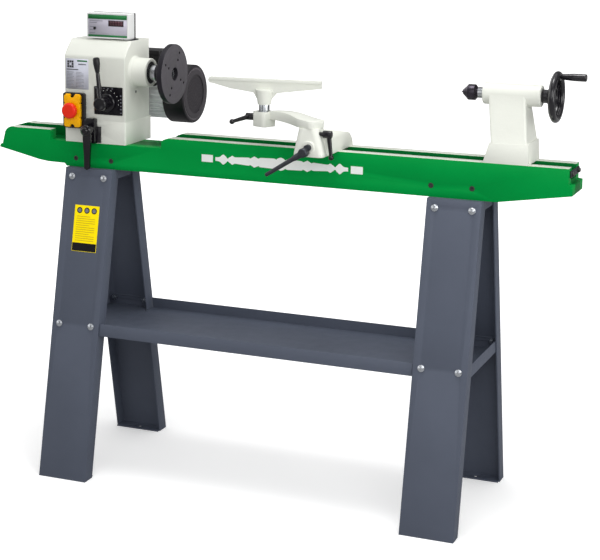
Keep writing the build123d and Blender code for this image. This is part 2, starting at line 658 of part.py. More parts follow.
with BuildPart() as motor_cable:
    with BuildLine():
        run_in = Line((CABLE_X, HEAD_Y1 - 3, CABLE_Z), (CABLE_X, HEAD_Y1 + 7, CABLE_Z))
        run_out = Line((BOX_CABLE_X, MOTOR_Y - 42, BOX_CABLE_Z),
                       (BOX_CABLE_X, MOTOR_Y - 33, BOX_CABLE_Z))
        Spline(run_in @ 1, (-388, HEAD_Y1 + 13.2, 969), (-375, HEAD_Y1 + 13.5, 966),
               (-364, HEAD_Y1 + 14, 975), (-362, HEAD_Y1 + 16, 990),
               (-372, HEAD_Y1 + 20, 1008), (-388, HEAD_Y1 + 28, 1021), run_out @ 0,
               tangents=[(0, 1, 0), (0, 1, 0)])
    with BuildSketch(Plane(origin=run_in @ 0, z_dir=(0, 1, 0))):
        Circle(3.2)
    sweep()
save(motor_cable, "motor_cable")

with BuildPart() as cable_gland:
    rod("y", CABLE_X, HEAD_Y1 + CLEAR, CABLE_Z, 8.6, 3.5)
    rod("y", CABLE_X, HEAD_Y1 + 3.5, CABLE_Z, 6.6, 3)
    rod("y", CABLE_X, HEAD_Y1 - 1, CABLE_Z, 3.4, 14, mode=CUT)
save(cable_gland, "cable_gland")

# ---------------------------------------------------------------- drive belt
SPAN_Y, SPAN_Z = MOTOR_Y, MOTOR_Z - SPINDLE_Z
SPAN = math.hypot(SPAN_Y, SPAN_Z)
SPAN_ANGLE = math.atan2(SPAN_Z, SPAN_Y)


def on_spindle(radius, angle):
    return (radius * math.cos(angle), SPINDLE_Z + radius * math.sin(angle))


def on_motor(radius, angle):
    return (MOTOR_Y + radius * math.cos(angle), MOTOR_Z + radius * math.sin(angle))


with BuildPart() as drive_belt:
    with BuildSketch(Plane.YZ.offset(BELT_X - BELT_W / 2)):
        # outer loop, then the inner loop cut out of it
        for offset, mode in ((4.0, Mode.ADD), (-4.0, CUT)):
            spindle_r, motor_r = SPINDLE_RUN_R + offset, MOTOR_RUN_R + offset
            wrap = math.acos((spindle_r - motor_r) / SPAN)
            upper_start = on_spindle(spindle_r, SPAN_ANGLE + wrap)
            upper_end = on_motor(motor_r, SPAN_ANGLE + wrap)
            lower_start = on_motor(motor_r, SPAN_ANGLE - wrap)
            lower_end = on_spindle(spindle_r, SPAN_ANGLE - wrap)
            with BuildLine():
                Line(upper_start, upper_end)
                ThreePointArc(upper_end, on_motor(motor_r, SPAN_ANGLE), lower_start)
                Line(lower_start, lower_end)
                ThreePointArc(lower_end, on_spindle(spindle_r, SPAN_ANGLE + math.pi),
                              upper_start)
            make_face(mode=mode)
    extrude(amount=BELT_W)
save(drive_belt, "drive_belt")

# ---------------------------------------------------------------- front controls: speed
with BuildPart() as speed_dial_plate:
    block(-468, -389, HEAD_Y0 - 2.2, HEAD_Y0 - CLEAR, 903.5, 974)
    fillet(speed_dial_plate.edges().filter_by(Axis.Y), 2)
    rod("y", SPEED_X, HEAD_Y0 - 5, SPEED_Z, 7.1, 10, mode=CUT)
    # shallow dots on an arc round the lever
    for k in range(7):
        angle = math.radians(-40 + 26 * k) + 0.4
        rod("y", SPEED_X + 31.5 * math.sin(angle), HEAD_Y0 - 3,
            SPEED_Z + 31.5 * math.cos(angle), 1.6, 1.4, mode=CUT)
save(speed_dial_plate, "speed_dial_plate")

LEVER_TILT = math.radians(6.0)      # the speed lever leans this far at rest
LEVER_ORIGIN = (SPEED_X, HEAD_Y0 - 37.5, SPEED_Z)
LEVER_ACROSS = (math.cos(LEVER_TILT), 0, math.sin(LEVER_TILT))
LEVER_UP = (-math.sin(LEVER_TILT), 0, math.cos(LEVER_TILT))

with BuildPart() as speed_lever:
    rod("y", SPEED_X, HEAD_Y0 - 12, SPEED_Z, 23.0, 9.6)
    chamfer(speed_lever.edges().filter_by(GeomType.CIRCLE).sort_by(Axis.Y)[0], 2)
    rod("y", SPEED_X, HEAD_Y0 - 28, SPEED_Z, 15.0, 18)
    rod("y", SPEED_X, HEAD_Y0 - 47, SPEED_Z, 16.5, 19.5)
    chamfer(speed_lever.edges().filter_by(GeomType.CIRCLE).sort_by(Axis.Y)[0], 1.6)
    rod("y", SPEED_X, HEAD_Y0 - 48, SPEED_Z, 11.5, 3, mode=CUT)
    rod("y", SPEED_X, HEAD_Y0 - 4, SPEED_Z, CONTROL_R, 26)
    with Locations(Plane(origin=LEVER_ORIGIN, x_dir=LEVER_ACROSS, z_dir=LEVER_UP)):
        with Locations((0, 0, 26)):
            Cylinder(6.6, 26)
        with Locations((0, 0, 58)):
            Cone(5.8, 4.8, 40)
        with Locations((0, 0, 88.5)):
            Cylinder(3.4, 23)
    # shift arm inside the housing
    block(SPEED_X - 4, SPEED_X + 4, HEAD_Y0 + 12, HEAD_Y0 + 21, SPEED_Z - 34, SPEED_Z)
save(speed_lever, "speed_lever")

# half profile of the grip: radius, distance from the lever shaft
GRIP_PROFILE = (
    (3.45, 79), (5.0, 79), (6.0, 84), (8.6, 100), (8.6, 111),
    (7.4, 114.5), (4.5, 116.2), (0, 116.4), (0, 100.3), (3.45, 100.3),
)
with BuildPart() as speed_lever_grip:
    turned(GRIP_PROFILE, Plane(origin=LEVER_ORIGIN, x_dir=LEVER_ACROSS, z_dir=(0, -1, 0)),
           Axis(LEVER_ORIGIN, LEVER_UP))
save(speed_lever_grip, "speed_lever_grip")

# ---------------------------------------------------------------- front controls: swivel lock
with BuildPart() as lock_bracket:
    block(-492, -450, HEAD_Y0 - 3.2, HEAD_Y0 - CLEAR, 831, 872)
    with BuildSketch(Plane.XZ.offset(-HEAD_Y0 + 3.2)):
        with BuildLine():
            Polyline((-488, 831), (-459.5, 831), (-459.5, 890))
            ThreePointArc((-459.5, 890), (-461, 893), (-464, 894))
            Line((-464, 894), (-480, 894))
            ThreePointArc((-480, 894), (-486, 891), (-488, 884))
            Line((-488, 884), (-488, 831))
        make_face()
    extrude(amount=17)
    rod("y", LOCK_X, HEAD_Y0 - 30, LOCK_Z, 7.1, 40, mode=CUT)
save(lock_bracket, "lock_bracket")

with BuildPart() as swivel_lock_lever:
    rod("y", LOCK_X, HEAD_Y0 - 43, LOCK_Z, 14.5, 22.4)
    chamfer(swivel_lock_lever.edges().filter_by(GeomType.CIRCLE).sort_by(Axis.Y)[0], 3)
    rod("y", LOCK_X, HEAD_Y0 - 49, LOCK_Z, 9.0, 8)
    chamfer(swivel_lock_lever.edges().filter_by(GeomType.CIRCLE).sort_by(Axis.Y)[0], 3)
    rod("y", LOCK_X, HEAD_Y0 - 22, LOCK_Z, CONTROL_R, 66)
    # cam that pulls the eye of the swivel bolt up
    rod("y", LOCK_X + 2, HEAD_Y0 + 43, LOCK_Z + 1, 9.2, 24)
    rod("y", LOCK_X, HEAD_Y0 + 60, LOCK_Z, CONTROL_R, 14)
    # flat handle hanging down
    with BuildSketch(Plane.XZ.offset(-HEAD_Y0 + 27)):
        with BuildLine():
            Polyline((-483.5, 866), (-461.5, 866), (-461, 842), (-464.5, 800), (-465.5, 773))
            ThreePointArc((-465.5, 773), (-473, 766), (-480.5, 773))
            Polyline((-480.5, 773), (-480.5, 800), (-483.5, 842), (-483.5, 866))
        make_face()
    extrude(amount=10)
    fillet(swivel_lock_lever.edges().filter_by(Axis.Z, tolerance=3).sort_by(Axis.Z)[:2], 2)
save(swivel_lock_lever, "swivel_lock_lever")

# ---------------------------------------------------------------- front controls: main switch
# frame, start button, hinged cover and the emergency-stop knob on it
COVER_X = -520.5       # centre of the hinged switch cover
COVER_Z0, COVER_Z1 = 870.0, 951.0
KNOB_X, KNOB_Z = COVER_X - 2, 912.0
BUTTON_X0, BUTTON_X1 = -533.0, -508.0
BUTTON_Z0, BUTTON_Z1 = 925.0, 941.0

with BuildPart() as switch_box:
    block(-551, -492, HEAD_Y0 - 13, HEAD_Y0 - CLEAR, 866, 955)
    fillet(switch_box.edges().filter_by(Axis.Y), 6)
    block(-542, -498, HEAD_Y0 - 14, HEAD_Y0 - 5, 875, 946, mode=CUT)
    block(BUTTON_X0 - 0.1, BUTTON_X1 + 0.1, HEAD_Y0 - 6, HEAD_Y0 + 1,
          BUTTON_Z0 - 0.1, BUTTON_Z1 + 0.1, mode=CUT)
save(switch_box, "switch_box")

with BuildPart() as start_button:
    block(BUTTON_X0, BUTTON_X1, HEAD_Y0 - 11.0, HEAD_Y0 - 5.3, BUTTON_Z0, BUTTON_Z1)
    fillet(start_button.edges().filter_by(Axis.Y), 2)
save(start_button, "start_button")

with BuildPart() as switch_cover:
    block(COVER_X - 22.5, COVER_X + 22.5, HEAD_Y0 - 22, HEAD_Y0 - 13.3, COVER_Z0, COVER_Z1)
    fillet(switch_cover.edges().filter_by(Axis.Y), 5)
    block(COVER_X - 19.5, COVER_X + 19.5, HEAD_Y0 - 19, HEAD_Y0 - 13,
          COVER_Z0 + 3, COVER_Z1 - 3, mode=CUT)
    # finger notches in the rim
    for z in (COVER_Z1, COVER_Z0):
        rod("y", COVER_X, HEAD_Y0 - 26, z, 7.0, 14, mode=CUT)
    for z in (893, 930):
        for dx in (23.5, -23.5):
            rod("y", COVER_X + dx, HEAD_Y0 - 26, z, 3.0, 14, mode=CUT)
    rod("y", KNOB_X, HEAD_Y0 - 30, KNOB_Z, 8.1, 20, mode=CUT)
    # hinge barrel along the top edge
    for dx in (-19.5, 7.5):
        rod("x", COVER_X + dx, HEAD_Y0 - 16.6, COVER_Z1 - 0.6, 2.6, 12)
save(switch_cover, "switch_cover")

with BuildPart() as stop_knob:
    rod("y", KNOB_X, HEAD_Y0 - 32, KNOB_Z, 8.0, 15)
    rod("y", KNOB_X, HEAD_Y0 - 39, KNOB_Z, 20.0, 11)
    fillet(stop_knob.edges().filter_by(GeomType.CIRCLE).sort_by(Axis.Y)[0], 6)
save(stop_knob, "stop_knob")

# ---------------------------------------------------------------- speed display on the headstock
CASE_X0, CASE_X1 = -507.0, -391.0
CASE_Y0, CASE_Y1 = -20.0, 18.0
CASE_Z0, CASE_Z1 = 1090.5, 1154.0
CASE_WALL = 3.0
CASE_BUTTON_X, CASE_BUTTON_Z = -485.0, 1115.5

with BuildPart() as display_case:
    block(CASE_X0, CASE_X1, CASE_Y0, CASE_Y1, CASE_Z0, CASE_Z1)
    fillet(display_case.edges().filter_by(Axis.Y), 2)
    # back plate and foot standing on the headstock
    block(CASE_X0, CASE_X1, CASE_Y1 - 4, CASE_Y1 + 2.5, HEAD_Z1 + CLEAR, CASE_Z1)
    block(-407, -391.5, CASE_Y0 + 6, CASE_Y1 + 2.5, HEAD_Z1 + CLEAR, CASE_Z0 + 1)
    block(-407, -383, CASE_Y0 + 6, CASE_Y1 + 2.5, HEAD_Z1 + CLEAR, HEAD_Z1 + 2.6)
    # cavity, then its opening at the front
    for y0, y1 in ((CASE_Y0 + 3, CASE_Y1 - 2), (CASE_Y0 - 1, CASE_Y0 + 1.0)):
        block(CASE_X0 + CASE_WALL, CASE_X1 - CASE_WALL, y0, y1,
              CASE_Z0 + CASE_WALL, CASE_Z1 - CASE_WALL, mode=CUT)
    rod("y", CASE_BUTTON_X, CASE_Y0 - 1, CASE_BUTTON_Z, 3.6, 10, mode=CUT)
save(display_case, "display_case")

with BuildPart() as display_button:
    rod("y", CASE_BUTTON_X, CASE_Y0 - 1.4, CASE_BUTTON_Z, 3.5, 6)
save(display_button, "display_button")


# ---------------------------------------------------------------- tool rest: clamp, base, lever
def bed_clamp(name, x, stud_length, plate_half, eye_half):
    # stud with a plate and nut under the ways and an eye round the eccentric shaft
    with BuildPart() as piece:
        rod("z", x, 0, WAY_Z - 30, 7.0, stud_length)
        block(x - plate_half, x + plate_half, -40, 40, WAY_Z - 30, WAY_Z - WAY_T - 0.4)
        with BuildSketch(Plane.XY.offset(WAY_Z - 40)):
            with Locations((x, 0)):
                RegularPolygon(11, 6)
        extrude(amount=10)
        rod("x", x - eye_half, 0, CLAMP_Z, 10.5, 2 * eye_half)
        rod("y", x, -20, CLAMP_Z, 6.2, 40, mode=CUT)
    save(piece, name)


bed_clamp("rest_clamp", REST_X, stud_length=62, plate_half=28, eye_half=10)

BASE_HALF = 35.0       # half width of the tool-rest base
TOWER_X, TOWER_Y = 146.5, -124.0   # foot of the pivot tower

with BuildPart() as rest_base:
    # low body across the bed, falling to a rounded rear end
    with BuildSketch(Plane.YZ.offset(REST_X - BASE_HALF)):
        with BuildLine():
            Polyline((-128, WAY_Z), (48, WAY_Z), (48, 861))
            ThreePointArc((48, 861), (36, 880), (14, 893))
            Polyline((14, 893), (-90, 912), (-128, 914), (-128, WAY_Z))
        make_face()
    extrude(amount=2 * BASE_HALF)
    # cross-section with rounded top edges
    with BuildSketch(Plane.XZ.offset(-60)):
        with BuildLine():
            Polyline((REST_X - BASE_HALF, 850), (REST_X + BASE_HALF, 850),
                     (REST_X + BASE_HALF, 889))
            ThreePointArc((REST_X + BASE_HALF, 889), (REST_X + 29, 903), (REST_X + 16, 909))
            ThreePointArc((REST_X + 16, 909), (REST_X, 912), (REST_X - 16, 909))
            ThreePointArc((REST_X - 16, 909), (REST_X - 29, 903), (REST_X - BASE_HALF, 889))
            Line((REST_X - BASE_HALF, 889), (REST_X - BASE_HALF, 850))
        make_face()
    extrude(amount=200, mode=Mode.INTERSECT)
    # flared tower under the swing-arm pivot
    with BuildSketch(Plane.XY.offset(WAY_Z)):
        with Locations((TOWER_X, TOWER_Y)):
            RectangleRounded(75, 70, 12)
    extrude(amount=6)
    with BuildSketch(Plane.XY.offset(WAY_Z + 6)):
        with Locations((TOWER_X, TOWER_Y)):
            RectangleRounded(75, 70, 12)
    with BuildSketch(Plane.XY.offset(WAY_Z + 64.9)):
        with Locations((ARM_X, ARM_Y)):
            RectangleRounded(50, 52, 16)
    loft()
    # swell round the eccentric shaft
    taper("y", REST_X, -160.5, CLAMP_Z, 14.0, 22.0, 40)
    # hollow underside
    block(REST_X - 27, REST_X + 27, -150, 38, WAY_Z - 1, WAY_Z + 8, mode=CUT)
    block(REST_X - 14, REST_X + 14, -88, 30, WAY_Z - 1, WAY_Z + 36, mode=CUT)
    # bore for the eccentric shaft, front to rear
    rod("y", REST_X, -180, CLAMP_Z, CLAMP_R + SHAFT_FIT, 216, mode=CUT)
    # pivot bore and clamp screw bore in the tower
    rod("z", ARM_X, ARM_Y, WAY_Z + 38, 11.05, 40, mode=CUT)
    rod("x", ARM_X + 5, ARM_SCREW_Y, ARM_SCREW_Z, 5.05, 60, mode=CUT)
save(rest_base, "rest_base")

REST_HUB_X, REST_HUB_Z = REST_X - 4, CLAMP_Z - 9
with BuildPart() as rest_clamp_lever:
    # shaft, with an off-centre pin between its two ends
    rod("y", REST_X, -171, CLAMP_Z, CLAMP_R, 200)
    rod("y", REST_X, -74, CLAMP_Z, 12, 103, mode=CUT)
    rod("y", REST_X, -75, CLAMP_Z - 1.5, 4.6, 105)
    # hub and handle
    rod("y", REST_HUB_X, -189, REST_HUB_Z, 11.0, 20)
    chamfer(rest_clamp_lever.edges().filter_by(GeomType.CIRCLE).sort_by(Axis.Y)[0], 2.5)
    with Locations(Plane(origin=(REST_HUB_X, -180, REST_HUB_Z), x_dir=(0, 1, 0),
                         z_dir=(-0.845, 0, -0.535))):
        with Locations((0, 0, 17)):
            Cone(8.2, 6.6, 24)
        with Locations((0, 0, 70)):
            Cone(5.6, 4.6, 84)
    fillet(rest_clamp_lever.edges().filter_by(GeomType.CIRCLE).sort_by(Axis.X)[0], 3.4)
save(rest_clamp_lever, "rest_clamp_lever")

# ---------------------------------------------------------------- tool rest: swing arm
ARM_Z0 = 920.0
ARM_LENGTH = math.hypot(POST_X - ARM_X, POST_Y - ARM_Y)
ARM_DX = (POST_X - ARM_X) / ARM_LENGTH     # direction from the pivot to the post
ARM_DY = (POST_Y - ARM_Y) / ARM_LENGTH

with BuildPart() as swing_arm:
    # side shape of the arm: arched near the post socket
    side_plane = Plane(origin=(ARM_X, ARM_Y, 0), x_dir=(ARM_DX, ARM_DY, 0),
                       z_dir=(ARM_DY, -ARM_DX, 0))
    with BuildSketch(side_plane.offset(-40)):
        with BuildLine():
            Polyline((50, 941.5), (-23, 936.5), (-23, ARM_Z0), (45, ARM_Z0),
                     (ARM_LENGTH, ARM_Z0 + 4), (ARM_LENGTH, SOCKET_Z1 - 0.4))
            ThreePointArc((ARM_LENGTH, SOCKET_Z1 - 0.4), (110, 944), (50, 941.5))
        make_face()
    extrude(amount=80)
    # plan shape: wide over the tower, narrowing in curves to the socket
    plan = Plane(origin=(ARM_X, ARM_Y, 900), x_dir=(ARM_DX, ARM_DY, 0), z_dir=(0, 0, 1))
    with BuildSketch(plan):
        with BuildLine():
            Polyline((24, -27), (-23, -25), (-23, 25), (24, 23))
            ThreePointArc((24, 23), (95, 2), (ARM_LENGTH, 4))
            Line((ARM_LENGTH, 4), (ARM_LENGTH, -20))
            ThreePointArc((ARM_LENGTH, -20), (92, -35), (24, -27))
        make_face()
    extrude(amount=60, mode=Mode.INTERSECT)
    fillet(swing_arm.edges().filter_by(Axis.Z).sort_by(Axis.X)[-2:], 11)
    # squared post socket
    with BuildSketch(plan.offset(SOCKET_Z0 - 900)):
        with Locations((ARM_LENGTH, 0)):
            RectangleRounded(43, 43, 9)
    extrude(amount=SOCKET_Z1 - SOCKET_Z0)
    rod("z", POST_X, POST_Y, SOCKET_Z0 - 5, 16.05, 60, mode=CUT)
    # pivot stem down into the tower
    rod("z", ARM_X, ARM_Y, WAY_Z + 39, 11.0, 936 - WAY_Z - 45)
    rod("x", POST_X - 40, POST_Y, POST_SCREW_Z, 5.05, 30, mode=CUT)
save(swing_arm, "swing_arm")


def lock_lever(name, x, y, z, side, lean, length, screw):
    # hub on an X-axis screw, with a tapered handle ending in a ball
    direction = Vector(*lean).normalized()
    across = direction.cross(Vector(0.3, 0.5, 0.9)).normalized()
    with BuildPart() as piece:
        rod("x", x, y, z, 8.6, side * 20)
        rod("x", x, y, z, 5.0, -side * screw)
        with Locations(Plane(origin=(x + side * 13, y, z), z_dir=tuple(direction),
                             x_dir=tuple(across))):
            with Locations((0, 0, length * 0.5)):
                Cone(5.8, 4.2, length)
            with Locations((0, 0, length)):
                Sphere(6.4)
    save(piece, name)


lock_lever("arm_lock_lever", ARM_X + 36, ARM_SCREW_Y, ARM_SCREW_Z, side=1,
           lean=(0.12, 0.0, -1.0), length=54, screw=24)
lock_lever("post_lock_lever", POST_X - 26.5, POST_Y, POST_SCREW_Z, side=-1,
           lean=(-0.36, -1.0, -0.12), length=60, screw=10.4)

# ---------------------------------------------------------------- tool rest: post and rest
with BuildPart() as post_bush:
    rod("z", POST_X, POST_Y, SOCKET_Z0, 16.0, SOCKET_Z1 - SOCKET_Z0)
    rod("z", POST_X, POST_Y, SOCKET_Z0 - 1, POST_R + SHAFT_FIT, 60, mode=CUT)
save(post_bush, "post_bush")

with BuildPart() as rest_post:
    rod("z", POST_X, POST_Y, 906.0, POST_R, 66)
    chamfer(rest_post.edges().filter_by(GeomType.CIRCLE).sort_by(Axis.Z)[0], 2)
save(rest_post, "rest_post")

REST_COS = math.cos(math.radians(REST_ANGLE))
REST_SIN = math.sin(math.radians(REST_ANGLE))
REST_TOP_Z = 1018.0

with BuildPart() as tool_rest:
    blade = Plane(origin=(POST_X, POST_Y, 0), x_dir=(REST_COS, REST_SIN, 0),
                  z_dir=(REST_SIN, -REST_COS, 0))
    with BuildSketch(blade.offset(-4)):
        with BuildLine():
            Polyline((-136, REST_TOP_Z), (141, REST_TOP_Z), (141, 1000), (30, 985),
                     (-22, 984), (-85, 992), (-132, 1003.5))
            ThreePointArc((-132, 1003.5), (-140.5, 1009), (-136, REST_TOP_Z))
        make_face()
    extrude(amount=8)
    # thicker top edge
    with BuildSketch(blade.offset(-7)):
        with BuildLine():
            Polyline((-136, REST_TOP_Z), (141, REST_TOP_Z), (141, 1011), (-138, 1011),
                     close=True)
        make_face()
    extrude(amount=14)
    taper("z", POST_X, POST_Y, 957, 16.0, 21.0, 36)
    # web tying the stem to the blade
    with BuildSketch(blade.offset(-3)):
        with BuildLine():
            Polyline((-30, 990), (36, 991), (17, 968), (-17, 968), close=True)
        make_face()
    extrude(amount=6)
    rod("z", POST_X, POST_Y, 950, POST_R + CLEAR, 22.2, mode=CUT)
save(tool_rest, "tool_rest")

# ---------------------------------------------------------------- tailstock body and clamp
TONGUE_HALF = SLOT_HALF - 0.25

with BuildPart() as tailstock_body:
    # foot with one raked end
    with BuildSketch(Plane.XZ.offset(-54)):
        with BuildLine():
            Polyline((536.5, WAY_Z), (643.5, WAY_Z), (641, 903), (550, 901), close=True)
        make_face()
    extrude(amount=108)
    # column: wide at the foot, narrowing to the barrel
    with BuildSketch(Plane.XY.offset(900)):
        with Locations(((553.5 + 638) / 2, 0)):
            RectangleRounded(84.5, 107.6, 5)
    with BuildSketch(Plane.XY.offset(SPINDLE_Z)):
        with Locations((580.3, 0)):
            RectangleRounded(87.2, 50.3, 5)
    loft()
    spindle_rod(521.5, 25.2, 136.5)
    fillet(tailstock_body.edges().filter_by(GeomType.CIRCLE).sort_by(Axis.X)[0], 3)
    fillet(tailstock_body.edges().filter_by(GeomType.CIRCLE).sort_by(Axis.X)[-1], 3)
    # tongue between the ways
    block(548, 632, -TONGUE_HALF, TONGUE_HALF, WAY_Z - 8, WAY_Z + 2)
    # quill and leadscrew bores, clamp pocket and cross bore for the clamp shaft
    spindle_rod(510, 12.55, 120, mode=CUT)
    spindle_rod(600, 8.05, 90, mode=CUT)
    block(556, 624, -20, 20, WAY_Z - 9, WAY_Z + 34, mode=CUT)
    rod("y", TAIL_X, -40, CLAMP_Z, CLAMP_R + SHAFT_FIT, 110, mode=CUT)
    # quill lock bore, and a small hole in the right end of the foot
    rod("y", QUILL_LOCK_X, 5, SPINDLE_Z, 5.05, 40, mode=CUT)
    rod("x", 630, -46, 860, 3.1, 20, mode=CUT)
save(tailstock_body, "tailstock_body")

bed_clamp("tail_clamp", TAIL_X, stud_length=60, plate_half=30, eye_half=9)

with BuildPart() as tail_clamp_lever:
    # shaft, with an off-centre pin between its two ends
    rod("y", TAIL_X, -38, CLAMP_Z, CLAMP_R, 106)
    rod("y", TAIL_X, -19, CLAMP_Z, 12, 38, mode=CUT)
    rod("y", TAIL_X, -19, CLAMP_Z - 1.5, 4.6, 38)
    # hub and handle
    rod("y", TAIL_X, 57, CLAMP_Z, 12.0, 20)
    with Locations(Plane(origin=(TAIL_X, 68, CLAMP_Z), x_dir=(0, 1, 0),
                         z_dir=(-0.94, 0, -0.342))):
        with Locations((0, 0, 46)):
            Cone(7.6, 5.0, 88)
        with Locations((0, 0, 92)):
            Sphere(7.0)
save(tail_clamp_lever, "tail_clamp_lever")

# ---------------------------------------------------------------- quill and live centre
with BuildPart() as quill:
    spindle_rod(508.2, 12.5, 111.8)
    spindle_taper(508.1, 8.95, 7.6, 58, mode=CUT)
    spindle_rod(560, 6.05, 70, mode=CUT)
    # keyway along the back
    block(512, 612, 10.2, 13, SPINDLE_Z - 2.2, SPINDLE_Z + 2.2, mode=CUT)
save(quill, "quill")

with BuildPart() as centre_housing:
    spindle_taper(507.9, 8.9, 7.75, 50)
    spindle_rod(505.4, 10.6, 2.8)
    spindle_taper(500.4, 18.4, 12.6, 5.2)
    spindle_rod(481, 18.4, 19.5)
    chamfer(centre_housing.edges().filter_by(GeomType.CIRCLE).sort_by(Axis.X)[0], 3.4)
    spindle_rod(480, 8.1, 14, mode=CUT)
save(centre_housing, "centre_housing")

with BuildPart() as centre_point:
    spindle_taper(466.5, 0.3, 2.6, 4.5)
    spindle_taper(471.0, 5.5, 12.8, 8)
    spindle_rod(479.0, 12.8, 1.6)
    spindle_rod(480.0, 8.05, 13)
save(centre_point, "centre_point")

# ---------------------------------------------------------------- leadscrew and handwheel
with BuildPart() as leadscrew:
    # screw, handwheel journal, collar
    spindle_rod(566, 6.0, 118)
    spindle_rod(632, 8.0, 54)
    spindle_rod(627.2, 11.0, 2.6)
save(leadscrew, "leadscrew")

with BuildPart() as handwheel:
    # stepped hub, three flat spokes set back from the round rim
    spindle_rod(658.05, 15.5, 13)
    spindle_taper(671.0, 17.0, 21.5, 6.5)
    spindle_rod(677.5, 21.5, 7.5)
    with BuildSketch(Plane.YZ.offset(681.5)):
        with Locations((0, SPINDLE_Z)):
            Circle(50)
            Circle(43.0, mode=CUT)
            Circle(24)
        for k in range(3):
            degrees = 30 + 120 * k
            angle = math.radians(degrees)
            with Locations((34 * math.cos(angle), SPINDLE_Z + 34 * math.sin(angle))):
                Rectangle(26, 15, rotation=degrees)
        with Locations((0, SPINDLE_Z)):
            Circle(20, mode=CUT)
    extrude(amount=6.5)
    with Locations(Location((691, 0, SPINDLE_Z), (0, 90, 0))):
        Torus(51.5, 7.6)
    # boss for the crank pin, then the shaft and pin bores
    rod("x", 685, 0, CRANK_Z, 9.0, 13.5)
    spindle_rod(640, 8.05, 46, mode=CUT)
    rod("x", 680, 0, CRANK_Z, 4.05, 20, mode=CUT)
save(handwheel, "handwheel")

with BuildPart() as crank_grip:
    rod("x", 684, 0, CRANK_Z, 4.0, 18)
    rod("x", 699.3, 0, CRANK_Z, 5.4, 4)
    taper("x", 702.5, 0, CRANK_Z, 6.6, 8.6, 26)
    rod("x", 728.5, 0, CRANK_Z, 8.6, 29.5)
    fillet(crank_grip.edges().filter_by(GeomType.CIRCLE).sort_by(Axis.X)[-1], 3)
save(crank_grip, "crank_grip")

with BuildPart() as quill_lock:
    rod("y", QUILL_LOCK_X, 13.0, SPINDLE_Z, 5.0, 32)
    rod("y", QUILL_LOCK_X, 29, SPINDLE_Z, 9.0, 14)
    with Locations(Plane(origin=(QUILL_LOCK_X, 36.5, SPINDLE_Z), x_dir=(0, 1, 0),
                         z_dir=(-0.9, 0.3, -0.3))):
        with Locations((0, 0, 27)):
            Cone(5.6, 4.0, 50)
        with Locations((0, 0, 52)):
            Sphere(6.0)
save(quill_lock, "quill_lock")
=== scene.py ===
"""Looks for a bench wood lathe on a splayed stand, in metres, +Z up, floor at z = 0.

The spindle axis runs along X at y = 0. The headstock is at the -X (left) end, the
tailstock at the +X end, and the front of the machine faces -Y. The CAD pieces get
procedural materials and softened edges; labels, dial marks, the display front, a plug
and the bed motif are added as thin pieces.
"""
import bpy
import bmesh
import math
from mathutils import Matrix, Vector


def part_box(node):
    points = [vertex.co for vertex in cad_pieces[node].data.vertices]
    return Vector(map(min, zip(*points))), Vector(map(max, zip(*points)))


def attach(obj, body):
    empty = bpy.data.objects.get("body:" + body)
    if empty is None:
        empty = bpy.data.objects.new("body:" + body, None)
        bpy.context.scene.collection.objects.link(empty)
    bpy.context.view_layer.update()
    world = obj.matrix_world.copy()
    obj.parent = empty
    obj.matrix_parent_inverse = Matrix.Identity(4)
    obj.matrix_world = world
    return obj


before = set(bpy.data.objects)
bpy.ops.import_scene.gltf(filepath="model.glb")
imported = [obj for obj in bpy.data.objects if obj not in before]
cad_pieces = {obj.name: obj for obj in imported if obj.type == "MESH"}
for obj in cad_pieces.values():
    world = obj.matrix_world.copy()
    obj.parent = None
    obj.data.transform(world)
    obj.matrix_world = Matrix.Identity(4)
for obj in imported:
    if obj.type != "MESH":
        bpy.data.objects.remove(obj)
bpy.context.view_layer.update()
scene = bpy.context.scene

# Places that the materials share with the geometry
ORIGIN = (0, 0, 0)
SPINDLE = (0, 0, 1.009)
FAN_CENTRE = (0, 0.160, 0.9395)
WAY_TOP_Z = 0.8543              # bed faces above this are bare ground metal
SLOT_HALF_WIDTH = 0.0264        # slot between the two bed ways
WINDOW_X = (-0.4450, -0.4050)   # display window
WINDOW_Z = (1.1228, 1.1352)


# ------------------------------------------------------------------ node graphs
MATERIALS = {}


class Graph:
    """Builds a node tree. Inputs take a socket, a number or an RGB tuple."""

    def __init__(self, tree):
        self.tree = tree
        tree.nodes.clear()

    def add(self, kind, **settings):
        node = self.tree.nodes.new(kind)
        for key, value in settings.items():
            setattr(node, key, value)
        return node

    def feed(self, socket, value):
        if hasattr(value, "links"):
            self.tree.links.new(value, socket)
        elif isinstance(value, tuple):
            socket.default_value = (*value, 1.0)
        else:
            socket.default_value = value

    def coord(self, kind):
        return self.add("ShaderNodeTexCoord").outputs[kind]

    def xyz(self, vector):
        node = self.add("ShaderNodeSeparateXYZ")
        self.feed(node.inputs[0], vector)
        return tuple(node.outputs)

    def math(self, operation, *values):
        node = self.add("ShaderNodeMath", operation=operation)
        for socket, value in zip(node.inputs, values):
            self.feed(socket, value)
        return node.outputs[0]

    def span(self, value, over, to=(0.0, 1.0), curve="LINEAR"):
        """Maps the range `over` onto the range `to`, clamped."""
        node = self.add("ShaderNodeMapRange", interpolation_type=curve)
        self.feed(node.inputs["Value"], value)
        for key, limit in zip(("From Min", "From Max", "To Min", "To Max"), (*over, *to)):
            node.inputs[key].default_value = limit
        return node.outputs["Result"]


